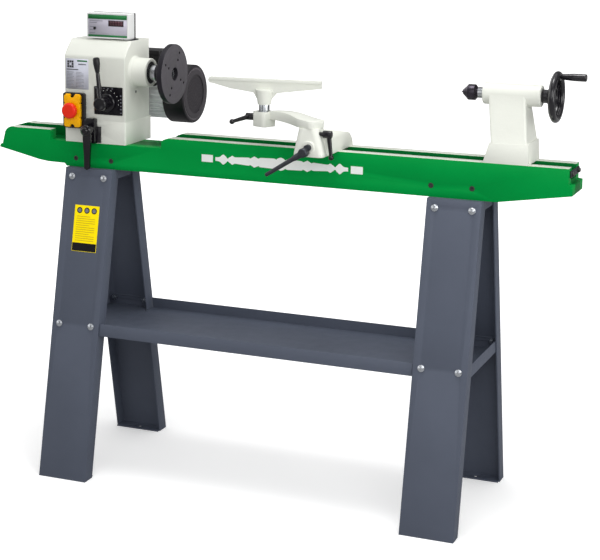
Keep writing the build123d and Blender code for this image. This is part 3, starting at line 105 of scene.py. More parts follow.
class Mat(Graph):
    """A material built around one Principled shader, kept in MATERIALS by name."""

    INPUTS = {
        "base": "Base Color", "rough": "Roughness", "metal": "Metallic",
        "coat": "Coat Weight", "coat_rough": "Coat Roughness", "spec": "Specular IOR Level",
        "emit": "Emission Strength", "emit_col": "Emission Color",
    }

    def __init__(self, name):
        material = bpy.data.materials.new(name)
        material.use_nodes = True
        MATERIALS[name] = material
        super().__init__(material.node_tree)
        output = self.add("ShaderNodeOutputMaterial")
        self.shader = self.add("ShaderNodeBsdfPrincipled")
        self.feed(output.inputs[0], self.shader.outputs[0])
        self.place = self.coord("Object")
        self.last_bump = None

    def set(self, **values):
        for key, value in values.items():
            self.feed(self.shader.inputs[self.INPUTS[key]], value)

    def stretch(self, scale):
        node = self.add("ShaderNodeMapping")
        node.inputs["Scale"].default_value = scale
        self.feed(node.inputs["Vector"], self.place)
        return node.outputs[0]

    def noise(self, scale, detail=3.0, rough=0.55, vector=None):
        node = self.add("ShaderNodeTexNoise")
        node.inputs["Scale"].default_value = scale
        node.inputs["Detail"].default_value = detail
        node.inputs["Roughness"].default_value = rough
        self.feed(node.inputs["Vector"], vector or self.place)
        return node.outputs["Fac"]

    def mix(self, amount, first, second):
        node = self.add("ShaderNodeMix", data_type="RGBA", blend_type="MIX")
        for index, value in ((0, amount), (6, first), (7, second)):
            self.feed(node.inputs[index], value)
        return node.outputs[2]

    def tones(self, pattern, colour, low, high):
        """Drifts a colour between two brightness factors."""
        return self.mix(self.span(pattern, over=(0.3, 0.7)),
                        scaled(colour, low), scaled(colour, high))

    def overlay(self, base, tint, pattern, over, amount):
        """Lays a tint over the base where the pattern runs high."""
        return self.mix(self.span(pattern, over=over, to=(0.0, amount)), base, tint)

    def bump(self, height, strength, distance):
        """Adds relief on top of any relief already there."""
        node = self.add("ShaderNodeBump")
        node.inputs["Strength"].default_value = strength
        node.inputs["Distance"].default_value = distance
        self.feed(node.inputs["Height"], height)
        if self.last_bump is not None:
            self.feed(node.inputs["Normal"], self.last_bump)
        self.last_bump = node.outputs[0]
        self.feed(self.shader.inputs["Normal"], self.last_bump)

    def radius(self, axis, centre):
        """Distance from the line along `axis` through `centre`."""
        squares = [self.math("POWER", self.math("SUBTRACT", coordinate, middle), 2.0)
                   for name, coordinate, middle in zip("xyz", self.xyz(self.place), centre)
                   if name != axis]
        return self.math("SQRT", self.math("ADD", *squares))

    def rings(self, distance, pitch, band_ratio):
        """Fine tool lines and broad tone bands that follow a distance."""
        combine = self.add("ShaderNodeCombineXYZ")
        self.feed(combine.inputs[0], distance)
        line = combine.outputs[0]
        fine = self.noise(scale=1.0 / pitch, detail=3.0, rough=0.7, vector=line)
        broad = self.noise(scale=band_ratio / pitch, detail=2.0, rough=0.5, vector=line)
        return fine, broad


def srgb(red, green, blue):
    """8-bit sRGB to linear."""
    def linear(level):
        level /= 255.0
        return level / 12.92 if level <= 0.04045 else ((level + 0.055) / 1.055) ** 2.4
    return (linear(red), linear(green), linear(blue))


def scaled(colour, factor):
    return tuple(min(1.0, channel * factor) for channel in colour)


# ------------------------------------------------------------------ kinds of material
def paint(name, colour, rough, strength, var, grain=900.0, grain_height=0.0003,
          coat=0.0, cast=False, dust=0.0, metal=0.0, spec=0.5):
    """Sprayed or powder-coated paint: orange peel, slow tone drift and uneven gloss."""
    m = Mat(name)
    c = m.tones(m.noise(scale=7.0, detail=4.0), colour, 1 - var, 1 + var)
    c = m.overlay(c, scaled(colour, 0.88), m.noise(scale=420.0, detail=2.0),
                  over=(0.62, 0.8), amount=0.35)
    if dust:
        smear = m.noise(scale=22.0, detail=6.0, rough=0.7, vector=m.stretch((0.5, 1.0, 2.2)))
        c = m.overlay(c, scaled(colour, 1.25), smear, over=(0.55, 0.8), amount=dust)
    m.set(base=c, metal=metal, coat=coat, coat_rough=0.15, spec=spec)
    m.set(rough=m.span(m.noise(scale=30.0, detail=4.0), over=(0.25, 0.75),
                       to=(rough - 0.06, rough + 0.09)))
    m.bump(m.noise(scale=grain, detail=2.0), strength=strength, distance=grain_height)
    if cast:
        m.bump(m.noise(scale=140.0, detail=3.0, rough=0.6), strength=0.35, distance=0.0007)
        m.bump(m.noise(scale=16.0, detail=2.0), strength=0.3, distance=0.0022)


def turned(name, colour, axis, centre, rough, metal=1.0, pitch=0.0008, var=0.16, painted_edge_reflection=0.0):
    """Turned metal: fine rings about an axis, tone bands, grime and an optional painted dark
    reflection where the surface turns away from view.
    """
    m = Mat(name)
    radius = m.radius(axis, centre)
    along = m.xyz(m.place)["xyz".index(axis)]
    line = m.math("ADD", m.math("MULTIPLY", radius, 1.0), m.math("MULTIPLY", along, 1.0))
    fine, broad = m.rings(line, pitch, band_ratio=0.12)
    c = m.tones(broad, colour, 1 - var, 1 + var)
    c = m.overlay(c, scaled(colour, 0.6), m.noise(scale=60.0, detail=4.0),
                  over=(0.58, 0.8), amount=0.3)
    # painted reflection: darkens the metal where it turns away from the camera, in place of
    # dark surroundings seen at the edges
    if painted_edge_reflection:
        weight = m.add("ShaderNodeLayerWeight")
        weight.inputs["Blend"].default_value = 0.5
        c = m.overlay(c, scaled(colour, 0.12), weight.outputs["Facing"],
                      over=(0.12, 0.62), amount=painted_edge_reflection)
    m.set(base=c, metal=metal,
          rough=m.span(fine, over=(0.2, 0.8), to=(rough - 0.07, rough + 0.12)))
    m.bump(fine, strength=0.5, distance=0.00024)


def black_turned(name, side, face, centre, bands=(), rough=0.42, pitch=0.0011):
    """Blackened turned iron: dark sides, and a +X face with rings and tone bands.

    bands: (inner radius, outer radius, colour)."""
    m = Mat(name)
    is_face = m.span(m.xyz(m.coord("Normal"))[0], over=(0.6, 0.85))
    radius = m.radius("x", centre)
    fine, broad = m.rings(radius, pitch, band_ratio=0.15)
    c = m.tones(broad, face, 0.88, 1.12)
    c = m.overlay(c, scaled(face, 0.72), m.noise(scale=40.0, detail=4.0),
                  over=(0.5, 0.8), amount=0.35)
    for inner, outer, colour in bands:
        inside = m.math("MULTIPLY", m.math("GREATER_THAN", radius, inner),
                        m.math("LESS_THAN", radius, outer))
        c = m.mix(m.math("MULTIPLY", inside, 0.9), c, colour)
    side_tone = m.tones(m.noise(scale=30.0, detail=3.0), side, 0.85, 1.2)
    m.set(base=m.mix(is_face, side_tone, c), metal=0.1, spec=0.35,
          rough=m.span(fine, over=(0.2, 0.8), to=(rough - 0.07, rough + 0.12)))
    m.bump(m.math("MULTIPLY", fine, is_face), strength=0.3, distance=0.00025)
    m.bump(m.noise(scale=700.0, detail=2.0), strength=0.15, distance=0.0003)


def plastic(name, colour, rough, strength=0.15, coat=0.0, var=0.04, spec=0.4):
    """Moulded plastic or printed film: faint drift, pale specks and a fine grain."""
    m = Mat(name)
    c = m.tones(m.noise(scale=26.0, detail=4.0), colour, 1 - var, 1 + var)
    c = m.overlay(c, scaled(colour, 1.35), m.noise(scale=220.0), over=(0.66, 0.85), amount=0.3)
    m.set(base=c, coat=coat, coat_rough=0.1, spec=spec,
          rough=m.span(m.noise(scale=90.0), over=(0.3, 0.7), to=(rough - 0.05, rough + 0.07)))
    m.bump(m.noise(scale=1400.0, detail=2.0), strength=strength, distance=0.0003)
    return m


def display_window():
    """Dark window with a faint grid of cells."""
    cell_pitch_x, cell_pitch_z = 0.0074, 0.0062
    m = Mat("display_window")
    x, _, z = m.xyz(m.place)
    column = m.math("FRACT", m.math("MULTIPLY", x, 1 / cell_pitch_x))
    above = m.math("SUBTRACT", z, WINDOW_Z[0])
    row = m.math("FRACT", m.math("MULTIPLY", above, 1 / cell_pitch_z))
    # the gaps take the first 30 % of each column and 22 % of each row
    cell = m.math("MULTIPLY", m.math("GREATER_THAN", column, 0.30),
                  m.math("GREATER_THAN", row, 0.22))
    c = m.mix(cell, srgb(52, 24, 34), srgb(96, 66, 74))
    c = m.overlay(c, srgb(64, 34, 42), m.noise(scale=300.0), over=(0.4, 0.6), amount=0.5)
    m.set(base=c, rough=0.3, spec=0.15)
    m.bump(m.noise(scale=500.0), strength=0.05, distance=0.0002)


def bed_enamel():
    """Green enamel; the two way tops are bare metal with lengthwise grinding lines."""
    green = srgb(0, 143, 62)
    m = Mat("bed_enamel_and_ground_ways")
    _, y, z = m.xyz(m.place)
    upward = m.xyz(m.coord("Normal"))[2]
    top = m.math("MULTIPLY", m.math("GREATER_THAN", z, WAY_TOP_Z),
                 m.math("GREATER_THAN", upward, 0.8))
    enamel = m.tones(m.noise(scale=6.0, detail=4.0), green, 0.94, 1.06)
    enamel = m.overlay(enamel, scaled(green, 0.82), m.noise(scale=380.0, detail=2.0),
                       over=(0.64, 0.8), amount=0.3)
    lines = m.noise(scale=900.0, rough=0.6, vector=m.stretch((0.012, 1.0, 1.0)))
    broad = m.noise(scale=9.0)
    # painted shade: the slot between the ways is darkened, in place of the shade inside it
    slot = m.math("MULTIPLY", m.math("LESS_THAN", m.math("ABSOLUTE", y), SLOT_HALF_WIDTH),
                  m.math("LESS_THAN", z, WAY_TOP_Z))
    enamel = m.mix(m.math("MULTIPLY", slot, 0.75), enamel, scaled(green, 0.3))
    ground = m.mix(m.span(lines, over=(0.25, 0.75)), srgb(205, 211, 198), srgb(236, 240, 228))
    ground = m.overlay(ground, srgb(214, 219, 202), broad, over=(0.45, 0.75), amount=0.35)
    m.set(base=m.mix(top, enamel, ground), metal=m.math("MULTIPLY", top, 0.12))
    enamel_rough = m.span(m.noise(scale=30.0, detail=4.0), over=(0.3, 0.7), to=(0.3, 0.42))
    ground_rough = m.span(lines, over=(0.2, 0.8), to=(0.26, 0.42))
    m.set(rough=m.mix(top, enamel_rough, ground_rough),
          spec=m.math("ADD", 0.04, m.math("MULTIPLY", top, 0.3)),
          coat=m.math("MULTIPLY", m.math("SUBTRACT", 1.0, top), 0.015), coat_rough=0.2)
    m.bump(m.noise(scale=520.0, detail=2.0), strength=0.25, distance=0.0004)
    m.bump(m.math("MULTIPLY", lines, top), strength=0.35, distance=0.0002)
    m.bump(m.noise(scale=10.0, detail=2.0), strength=0.25, distance=0.002)


# ------------------------------------------------------------------ the materials
paint("cream_casting", srgb(226, 228, 219), rough=0.45, cast=True, var=0.02, strength=0.2,
      coat=0.08, spec=0.3)
paint("slate_powder_coat", srgb(84, 90, 104), rough=0.5, grain=1500.0, grain_height=0.00035,
      strength=0.5, var=0.05, dust=0.06, spec=0.22)
plastic("white_case", srgb(232, 233, 232), rough=0.42, var=0.015)
paint("black_lever", srgb(15, 13, 19), rough=0.22, grain=500.0, strength=0.22, var=0.12,
      coat=0.35, spec=0.32)
turned("dark_steel_lever", srgb(70, 72, 78), "y", (0.143, 0, 0.871), rough=0.4, metal=0.85,
       pitch=0.0015)
turned("bright_bolt", srgb(196, 200, 206), "y", ORIGIN, rough=0.24, pitch=0.0012, var=0.08)
turned("dark_socket_screw", srgb(62, 62, 60), "y", ORIGIN, rough=0.34, metal=0.4, pitch=0.0012)
turned("turned_steel_spindle", srgb(190, 192, 196), "x", SPINDLE, rough=0.22)
turned("blued_steel_centre", srgb(66, 62, 70), "x", SPINDLE, rough=0.26, metal=0.9)
# the post and quill get a painted dark reflection toward their edges
turned("ground_steel_post", srgb(196, 200, 204), "z", (-0.005, -0.058, 0), rough=0.16, painted_edge_reflection=0.8)
turned("ground_steel_quill", srgb(200, 203, 206), "x", SPINDLE, rough=0.18, painted_edge_reflection=0.75)
turned("clamp_steel", srgb(150, 152, 156), "z", ORIGIN, rough=0.36, pitch=0.0012)
black_turned("black_faceplate", srgb(24, 22, 30), srgb(86, 83, 88), SPINDLE)
paint("black_handwheel", srgb(17, 15, 22), rough=0.2, grain=420.0, strength=0.2, var=0.1,
      coat=0.45, spec=0.38)
black_turned("black_fan_cover", srgb(22, 20, 25), srgb(70, 66, 71), FAN_CENTRE,
             bands=((0.0, 0.0505, srgb(54, 50, 55)), (0.0635, 0.0670, srgb(112, 106, 112)),
                    (0.0690, 0.0760, srgb(40, 37, 42))), rough=0.45, pitch=0.0018)
plastic("black_plastic", srgb(22, 21, 25), rough=0.34)
black_turned("bearing_seal", srgb(18, 17, 20), srgb(22, 21, 24), SPINDLE,
             bands=((0.0265, 0.0285, srgb(120, 122, 126)),))
plastic("black_dial_plate", srgb(12, 10, 17), rough=0.3, spec=0.28, var=0.1)
plastic("black_rubber", srgb(24, 24, 25), rough=0.6, strength=0.3)
paint("cast_aluminium", srgb(236, 238, 240), rough=0.38, grain=700.0, strength=0.4, var=0.04,
      metal=0.2)
turned("pulley_aluminium", srgb(200, 202, 205), "x", SPINDLE, rough=0.3)
turned("gland_brass", srgb(206, 190, 140), "y", (-0.394, 0, 0.970), rough=0.3)
plastic("yellow_switch_cover", srgb(255, 184, 0), rough=0.3, coat=0.12, var=0.03, spec=0.2)
plastic("red_stop_knob", srgb(236, 44, 20), rough=0.33, coat=0.12, spec=0.25)
plastic("green_button", srgb(20, 140, 50), rough=0.3, coat=0.3)
plastic("white_print", srgb(240, 243, 240), rough=0.5)
plastic("green_print", srgb(10, 112, 52), rough=0.45)
plastic("grey_print", srgb(120, 122, 132), rough=0.55)
plastic("dark_print", srgb(56, 56, 62), rough=0.5)
plastic("brushed_label_plate", srgb(200, 202, 214), rough=0.4, var=0.03)
plastic("display_panel_film", srgb(196, 192, 206), rough=0.38, var=0.03)
yellow_label = plastic("yellow_label", srgb(255, 228, 6), rough=0.5, var=0.02, spec=0.1)
# painted glow: the label gives off a faint yellow light of its own, so it reads brighter than
# the lamps make it
yellow_label.set(emit_col=srgb(255, 226, 10), emit=0.12)
plastic("label_rule", srgb(176, 152, 22), rough=0.5)
display_window()
bed_enamel()

# ------------------------------------------------------------------ finish of the CAD pieces
# material: the pieces it covers
PIECES_BY_MATERIAL = {
    "bed_enamel_and_ground_ways": "bed",
    "dark_socket_screw": "bed_screws end_stop_screws",
    "dark_steel_lever": "end_stop_bar rest_clamp_lever",
    "slate_powder_coat": "leg_front_left leg_front_right leg_back_left leg_back_right "
                         "top_bracket_left top_bracket_right shelf_tray",
    "bright_bolt": "stand_bolts stand_nuts",
    "cream_casting": "headstock_base headstock_housing rest_base swing_arm tool_rest "
                     "tailstock_body",
    "black_lever": "belt_cover speed_lever lock_bracket swivel_lock_lever arm_lock_lever "
                   "post_lock_lever tail_clamp_lever quill_lock",
    "clamp_steel": "swivel_bolt rest_clamp post_bush tail_clamp",
    "bearing_seal": "spindle_bearings",
    "turned_steel_spindle": "spindle motor_shaft leadscrew",
    "pulley_aluminium": "spindle_pulley motor_pulley",
    "black_faceplate": "faceplate",
    "cast_aluminium": "motor_body",
    "black_plastic": "cooling_fan terminal_box speed_lever_grip switch_box display_button",
    "black_fan_cover": "fan_cover",
    "black_rubber": "motor_cable drive_belt",
    "gland_brass": "cable_gland",
    "black_dial_plate": "speed_dial_plate",
    "green_button": "start_button",
    "yellow_switch_cover": "switch_cover",
    "red_stop_knob": "stop_knob",
    "white_case": "display_case",
    "ground_steel_post": "rest_post",
    "ground_steel_quill": "quill",
    "blued_steel_centre": "centre_housing centre_point",
    "black_handwheel": "handwheel crank_grip",
}
# bevel width: the pieces that have it
DEFAULT_BEVEL = 0.0004
PIECES_BY_BEVEL = {
    0.0030: "rest_base",
    0.0025: "swing_arm",
    0.0020: "tailstock_body lock_bracket",
    0.0016: "headstock_housing headstock_base tool_rest swivel_lock_lever",
    0.0012: "bed switch_box fan_cover handwheel",
    0.0009: "leg_front_left leg_front_right leg_back_left leg_back_right shelf_tray",
    0.0008: "top_bracket_left top_bracket_right switch_cover stop_knob",
    0.0006: "motor_body display_case",
    0.0005: "faceplate",
}


def by_piece(groups):
    return {piece: value for value, pieces in groups.items() for piece in pieces.split()}


def finish_pieces():
    """Gives each CAD piece its material, rounded edges and smooth shading."""
    materials = by_piece(PIECES_BY_MATERIAL)
    bevels = by_piece(PIECES_BY_BEVEL)
    for name, piece in cad_pieces.items():
        piece.data.materials.clear()
        piece.data.materials.append(MATERIALS[materials[name]])
        weld = piece.modifiers.new("join", "WELD")
        weld.merge_threshold = 0.00001
        bevel = piece.modifiers.new("soft_edges", "BEVEL")
        bevel.width = bevels.get(name, DEFAULT_BEVEL)
        bevel.segments = 2
        bevel.limit_method = "ANGLE"
        bevel.angle_limit = math.radians(38)
        bevel.use_clamp_overlap = True
        bevel.harden_normals = False
        for polygon in piece.data.polygons:
            polygon.use_smooth = True
        split = piece.modifiers.new("facets", "EDGE_SPLIT")
        split.split_angle = math.radians(40)


finish_pieces()


# ------------------------------------------------------------------ helpers for added pieces
def mesh_object(name, bm, materials):
    mesh = bpy.data.meshes.new(name)
    bm.to_mesh(mesh)
    bm.free()
    for material in materials:
        mesh.materials.append(MATERIALS[material])
    made = bpy.data.objects.new(name, mesh)
    scene.collection.objects.link(made)
    return made


def new_piece(name, bm, materials, body):
    piece = mesh_object(name, bm, materials)
    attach(piece, body)


def dress(faces, material):
    for face in faces:
        face.material_index = material
        face.smooth = True


def add_box(bm, x_span, y_span, z_span, material=0, bevel=0.0):
    """A box between (low, high) pairs, with rounded edges if a bevel is given."""
    verts = bmesh.ops.create_cube(bm, size=1.0)["verts"]
    for v in verts:
        v.co = [span[side > 0] for side, span in zip(v.co, (x_span, y_span, z_span))]
    faces = {f for v in verts for f in v.link_faces}
    dress(faces, material)
    if bevel:
        edges = list({e for f in faces for e in f.edges})
        result = bmesh.ops.bevel(bm, geom=edges, offset=bevel, segments=2, affect="EDGES",
                                 clamp_overlap=True)
        dress([f for f in (*faces, *result["faces"]) if f.is_valid], material)


def add_revolved(bm, profile, placement, segments):
    """Revolves (radius, height) points about local Z; a zero radius makes a pole."""
    rings = []
    for radius, height in profile:
        angles = [2 * math.pi * k / segments for k in range(segments if radius else 1)]
        rings.append([bm.verts.new(placement @ Vector(
            (radius * math.cos(a), radius * math.sin(a), height))) for a in angles])
    for a, b in zip(rings, rings[1:]):
        for k in range(segments):
            k2 = (k + 1) % segments
            if len(a) == 1:
                corners = (a[0], b[k2], b[k])
            elif len(b) == 1:
                corners = (a[k], a[k2], b[0])
            else:
                corners = (a[k], a[k2], b[k2], b[k])
            bm.faces.new(corners).smooth = True


# ------------------------------------------------------------------ headstock details
def data_plate():
    """Plate on the headstock front: tiles, three bars and two columns of plain rules."""
    left, right, bottom, top = -0.549, -0.4845, 0.9635, 1.040
    tile, tile_pitch = 0.0053, 0.0062
    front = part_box("headstock_housing")[0].y
    print_y = (front - 0.0010, front - 0.0006)
    # start and end from the left edge, bottom and top below the top edge, material slot
    bars = (
        (0.033, 0.0615, 0.0070, 0.0032, 2),
        (0.036, 0.0585, 0.0150, 0.0120, 3),
        (0.003, 0.0360, 0.0282, 0.0262, 4),
    )
    # start from the left edge, usual length, every n-th row, length of that row
    columns = ((0.003, 0.017, 3, 0.021), (0.029, 0.022, 4, 0.016))
    bm = bmesh.new()
    add_box(bm, (left, right), (front - 0.0008, front + 0.0002), (bottom, top), bevel=0.0003)
    for i in range(3):
        for j in range(3):
            if (i, j) != (1, 1):
                x = left + 0.005 + i * tile_pitch
                z = top - 0.0225 + j * tile_pitch
                add_box(bm, (x, x + tile), print_y, (z, z + tile), material=1)
    for start, end, low, high, slot in bars:
        add_box(bm, (left + start, left + end), print_y, (top - low, top - high), slot)
    for row in range(11):
        z = top - 0.0335 - row * 0.0036
        for start, usual, nth, other in columns:
            x = left + start
            length = usual if row % nth else other
            add_box(bm, (x, x + length), print_y, (z - 0.0009, z), material=3)
    materials = ["brushed_label_plate", "dark_print", "green_print", "grey_print", "dark_print"]
    new_piece("data_plate", bm, materials, "headstock")


def dial_marks():
    """White dots round the speed lever, with grey ticks to the right and above."""
    centre_x, centre_z, radius = -0.430, 0.935, 0.0310
    dot_half = 0.0011
    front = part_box("speed_dial_plate")[0].y
    mark_y = (front - 0.0002, front + 0.0004)
    bm = bmesh.new()
    for k in range(9):
        angle = math.radians(-62 + 20 * k)
        x = centre_x + radius * math.sin(angle)
        z = centre_z + radius * math.cos(angle)
        add_box(bm, (x - dot_half, x + dot_half), mark_y, (z - dot_half, z + dot_half),
                bevel=0.0004)
    for k in range(6):
        z = 0.909 + k * 0.0085
        height = 0.0022 + 0.0008 * (k % 2)
        add_box(bm, (-0.3952, -0.3912), mark_y, (z, z + height), material=1)
    for k in range(5):
        x = -0.4655 + 0.0115 * k
        add_box(bm, (x, x + 0.005), mark_y, (0.9690, 0.9705), material=1)
    new_piece("dial_marks", bm, ["white_print", "grey_print"], "headstock")


def display_front():
    """Film on the display case: stripes top and bottom, framed window, plain rules."""
    face_y = -0.0199
    left, right, bottom, top = -0.5036, -0.3944, 1.0940, 1.1506
    frame_x = (WINDOW_X[0] - 0.0015, WINDOW_X[1] + 0.0015)
    frame_z = (WINDOW_Z[0] - 0.0013, WINDOW_Z[1] + 0.0013)
    # x span, z span, front and back from face_y, material slot, bevel
    films = (
        ((left, right), (bottom, top), 0.0002, 0.0012, 0, 0.0),
        ((left, right), (top - 0.0115, top - 0.0005), -0.0003, 0.0006, 1, 0.0),
        ((left, right), (bottom + 0.0005, bottom + 0.0052), -0.0003, 0.0006, 1, 0.0),
        (frame_x, frame_z, -0.0004, 0.0006, 3, 0.0004),
        (WINDOW_X, WINDOW_Z, -0.0006, 0.0002, 2, 0.0003),
    )
    bm = bmesh.new()
    for x_span, z_span, front, back, slot, bevel in films:
        add_box(bm, x_span, (face_y + front, face_y + back), z_span, slot, bevel)
    rule_x = -0.4990
    for k in range(5):
        drop = 0.0048 * k * (1 if k < 2 else 1.6)
        length = 0.022 - 0.002 * k if k else 0.036
        add_box(bm, (rule_x, rule_x + length), (face_y - 0.0002, face_y + 0.0006),
                (1.1340 - drop, 1.1352 - drop), material=4)
    materials = ["display_panel_film", "green_print", "display_window", "dark_print",
                 "grey_print"]
    new_piece("display_front", bm, materials, "headstock")


def display_backplate():
    """Black plate behind the display case, with its foot."""
    low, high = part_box("display_case")
    lip, back_y = 0.0004, 0.0209
    # the right edge stops at a fixed x if the case reaches further
    right = high.x + lip if high.x < -0.39 else -0.3906
    bm = bmesh.new()
    add_box(bm, (low.x - lip, right), (0.0136, back_y), (1.0872, high.z + lip), bevel=0.0006)
    add_box(bm, (-0.4074, -0.3826), (-0.0144, back_y), (1.0871, 1.0904), bevel=0.0006)
    new_piece("display_backplate", bm, ["black_plastic"], "headstock")


def side_hole_plug():
    """Round plug in the hole on the headstock's +X side."""
    # radius, height along +X
    profile = (
        (0.0, 0.0), (0.0014, 0.0), (0.0014, -0.0014), (0.0028, -0.0014),
        (0.0036, -0.0003), (0.0037, -0.0022), (0.0037, -0.006), (0.0, -0.006),
    )
    placement = (Matrix.Translation((-0.3822, 0.004, 0.958))
                 @ Matrix.Rotation(math.radians(90), 4, "Y"))
    bm = bmesh.new()
    add_revolved(bm, profile, placement, segments=28)
    new_piece("side_hole_plug", bm, ["black_dial_plate"], "headstock")


data_plate()
dial_marks()
display_front()
display_backplate()
side_hole_plug()

# ------------------------------------------------------------------ label on the front left leg
LEG_FOOT_Y, LEG_TOP_Y, LEG_TOP_Z = 0.2275, 0.0720, 0.7655   # y as distance in front of y = 0
LEG_LEAN = (LEG_FOOT_Y - LEG_TOP_Y) / LEG_TOP_Z
FILM = 0.0004


def leg_y(z):
    """Just in front of the leaning leg's face."""
    return -(LEG_FOOT_Y - LEG_LEAN * z) - 0.0002


def leg_patch(bm, x0, x1, z0, z1, out, material):
    corners = ((x0, z0), (x1, z0), (x1, z1), (x0, z1))
    a, b = [[bm.verts.new((x, leg_y(z) - lift, z)) for x, z in corners]
            for lift in (out, out + FILM)]
    sides = [(a[i], b[i], b[(i + 1) % 4], a[(i + 1) % 4]) for i in range(4)]
    for corner_verts in [b[::-1], a] + sides:
        bm.faces.new(corner_verts).material_index = material


def leg_disc(bm, centre_x, centre_z, radius, out, material, segments=24):
    def vert(x, z):
        return bm.verts.new((x, leg_y(z) - out - FILM, z))

    middle = vert(centre_x, centre_z)
    angles = [2 * math.pi * k / segments for k in range(segments)]
    ring = [vert(centre_x + radius * math.cos(a), centre_z + radius * math.sin(a))
            for a in angles]
    for k in range(segments):
        face = bm.faces.new((middle, ring[k], ring[(k + 1) % segments]))
        face.material_index = material


def leg_label():
    """Yellow film with a black foot band, three blank discs and rules."""
    left, right, bottom, top = -0.5060, -0.4370, 0.5610, 0.6750
    bm = bmesh.new()
    leg_patch(bm, left, right, bottom, top, out=0.0, material=0)
    leg_patch(bm, left + 0.001, right - 0.001, bottom + 0.001, bottom + 0.021,
              out=0.0004, material=1)
    for k in range(3):
        x = left + 0.0140 + 0.0205 * k
        leg_disc(bm, x, top - 0.0125, radius=0.0076, out=0.0002, material=1)
        leg_disc(bm, x, top - 0.0125, radius=0.0052, out=0.0004, material=3)
    for k in range(12):
        z = top - 0.027 - k * 0.0054
        margin = 0.009 if k % 4 else 0.024
        leg_patch(bm, left + 0.007, right - margin, z - 0.0010, z, out=0.0004, material=2)
    materials = ["yellow_label", "black_dial_plate", "label_rule", "grey_print"]
    new_piece("leg_label", bm, materials, "frame")


leg_label()


# ------------------------------------------------------------------ motif on the bed front
def add_strip(bm, outline):
    """A thin raised film from (x, half height) stations."""
    face_y, thickness, middle_z = -0.0544, 0.0005, 0.8135
    rows = [[bm.verts.new((x, y, middle_z + side * half))
             for y in (face_y - thickness, face_y + 0.0001) for side in (-1, 1)]
            for x, half in outline]
    for a, b in zip(rows, rows[1:]):
        bm.faces.new((a[0], b[0], b[1], a[1]))
        bm.faces.new((a[2], a[3], b[3], b[2]))
        bm.faces.new((a[1], b[1], b[3], a[3]))
        bm.faces.new((a[0], a[2], b[2], b[0]))
    first, last = rows[0], rows[-1]
    bm.faces.new((first[0], first[1], first[3], first[2]))
    bm.faces.new((last[2], last[3], last[1], last[0]))


def bed_motif():
    """White silhouette of a turned spindle between two blocks."""
    start_x, length, steps = -0.135, 0.345, 120
    # change in half height, spread, places along the length (0 to 1)
    beads_and_necks = (
        (0.0070, 0.018, (0.06, 0.94)),
        (0.0040, 0.012, (0.13, 0.87)),
        (0.0035, 0.020, (0.5,)),
        (0.0030, 0.010, (0.30, 0.70)),
        (-0.0040, 0.008, (0.095, 0.905)),
        (-0.0030, 0.006, (0.27, 0.33, 0.67, 0.73, 0.465, 0.535)),
    )
    outline = []
    for i in range(steps + 1):
        u = i / steps
        half = 0.0045 + 0.0080 * math.sin(math.pi * u) ** 1.2
        for change, spread, places in beads_and_necks:
            for place in places:
                half += change * math.exp(-((u - place) / spread) ** 2)
        outline.append((start_x + length * u, max(half, 0.002)))
    bm = bmesh.new()
    add_strip(bm, outline)
    for x0, x1 in ((-0.172, -0.142), (0.217, 0.247)):
        add_strip(bm, [(x0, 0.009), (x1, 0.009)])
    new_piece("bed_motif", bm, ["white_print"], "frame")


bed_motif()


# ------------------------------------------------------------------ stage
def floor():
    """A large plane: near white to the camera, mid grey to the light it bounces."""
    m = Mat("floor")
    seen = m.add("ShaderNodeLightPath").outputs["Is Camera Ray"]
    tone = m.mix(m.span(m.noise(scale=1.5), over=(0.3, 0.7)),
                 (0.90, 0.90, 0.90), (0.92, 0.92, 0.92))
    # painted shade: the glow is weaker near the machine, so the floor round it reads darker and
    # the cast shadows show; further out it grows toward white
    glow = m.span(m.radius("z", ORIGIN), over=(0.6, 2.0), to=(0.30, 0.66))
    m.set(base=m.mix(seen, (0.42, 0.42, 0.42), tone), rough=0.9, spec=0.0,
          emit_col=(1.0, 1.0, 1.0), emit=m.math("MULTIPLY", seen, glow))
    half, z = 60.0, -0.0002
    bm = bmesh.new()
    corners = ((-half, -half), (half, -half), (half, half), (-half, half))
    bm.faces.new([bm.verts.new((x, y, z)) for x, y in corners])
    mesh_object("floor", bm, ["floor"])


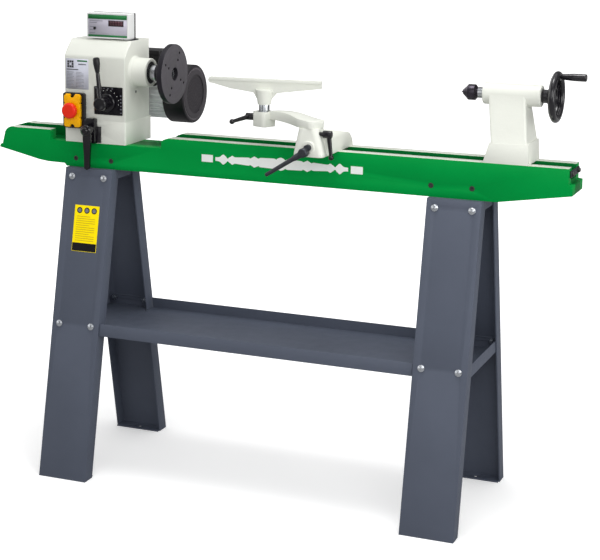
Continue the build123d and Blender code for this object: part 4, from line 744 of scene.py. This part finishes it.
def studio_world():
    """White to the camera, a soft grey room for diffuse light, soft boxes for reflections."""
    world = bpy.data.worlds.new("studio")
    scene.world = world
    world.use_nodes = True
    sky = Graph(world.node_tree)
    x, _, z = sky.xyz(sky.coord("Generated"))

    def rise(value, over, to=(0.0, 1.0)):
        return sky.span(value, over, to, curve="SMOOTHSTEP")

    def fall(value, over):
        return sky.math("SUBTRACT", 1.0, rise(value, over))

    def soft_box(across, bottom, top):
        return sky.math("MULTIPLY", across, sky.math("MULTIPLY", rise(z, bottom), fall(z, top)))

    def choose(switch, off, on):
        node = sky.add("ShaderNodeMix", data_type="FLOAT")
        for index, value in ((0, switch), (2, off), (3, on)):
            sky.feed(node.inputs[index], value)
        return node.outputs[0]

    room = rise(z, over=(-0.3, 0.9), to=(0.54, 0.78))
    top_box = rise(z, over=(0.62, 0.80))
    left_box = soft_box(fall(x, (-0.62, -0.45)), bottom=(-0.05, 0.05), top=(0.52, 0.62))
    right_box = soft_box(rise(x, (0.70, 0.82)), bottom=(0.0, 0.1), top=(0.35, 0.45))
    # brightness of each soft box, over a dim base
    boxes = [sky.math("MULTIPLY", box, power)
             for box, power in ((top_box, 0.75), (left_box, 1.1), (right_box, 0.55))]
    side_boxes = sky.math("ADD", boxes[1], boxes[2])
    gloss = sky.math("ADD", 0.16, sky.math("ADD", boxes[0], side_boxes))
    rays = sky.add("ShaderNodeLightPath").outputs
    lit = choose(rays["Is Glossy Ray"], off=room, on=gloss)
    background = sky.add("ShaderNodeBackground")
    sky.feed(background.inputs[0], (1.0, 1.0, 1.0))
    sky.feed(background.inputs[1], choose(rays["Is Camera Ray"], off=lit, on=1.0))
    output = sky.add("ShaderNodeOutputWorld")
    sky.feed(output.inputs[0], background.outputs[0])


def lights():
    # name, location, target, side of the square, power in watts
    table = (
        ("key", (0.6, -3.5, 1.9), (0.0, 0, 0.7), 2.3, 15.0),
        ("head", (1.2, -1.3, 1.5), (-0.4, 0, 0.95), 0.9, 7.5),
        ("fill", (5.6, -1.4, 1.0), (-0.2, 0, 0.5), 3.4, 110.0),
        ("top", (0.25, -0.3, 3.6), (0, 0, 0.8), 1.1, 34.0),
    )
    for name, location, target, size, power in table:
        data = bpy.data.lights.new(name, "AREA")
        data.energy = power
        data.shape = "RECTANGLE"
        data.size = size
        data.size_y = size
        lamp = bpy.data.objects.new(name, data)
        scene.collection.objects.link(lamp)
        lamp.location = location
        aim = Vector(target) - Vector(location)
        lamp.rotation_euler = aim.to_track_quat("-Z", "Y").to_euler()


def camera():
    """Looks from the front right, slightly down."""
    location = (1.47860, -3.57015, 1.47917)
    yaw, pitch, roll = (math.radians(angle) for angle in (21.379, 9.909, 0.7225))
    forward = Vector((-math.sin(yaw) * math.cos(pitch), math.cos(yaw) * math.cos(pitch),
                      -math.sin(pitch)))
    level_right = Vector((math.cos(yaw), math.sin(yaw), 0))
    level_up = level_right.cross(forward)
    right = math.cos(roll) * level_right + math.sin(roll) * level_up
    up = -math.sin(roll) * level_right + math.cos(roll) * level_up
    data = bpy.data.cameras.new("camera")
    data.sensor_width = 36.0
    data.lens = 96.1626
    data.shift_x = -0.009666667
    data.shift_y = -0.19385
    data.clip_end = 100.0
    viewer = bpy.data.objects.new("camera", data)
    scene.collection.objects.link(viewer)
    turn = Matrix((right, up, -forward)).transposed().to_4x4()
    viewer.matrix_world = Matrix.Translation(location) @ turn
    scene.camera = viewer


floor()
studio_world()
lights()
camera()
scene.view_settings.view_transform = "Standard"
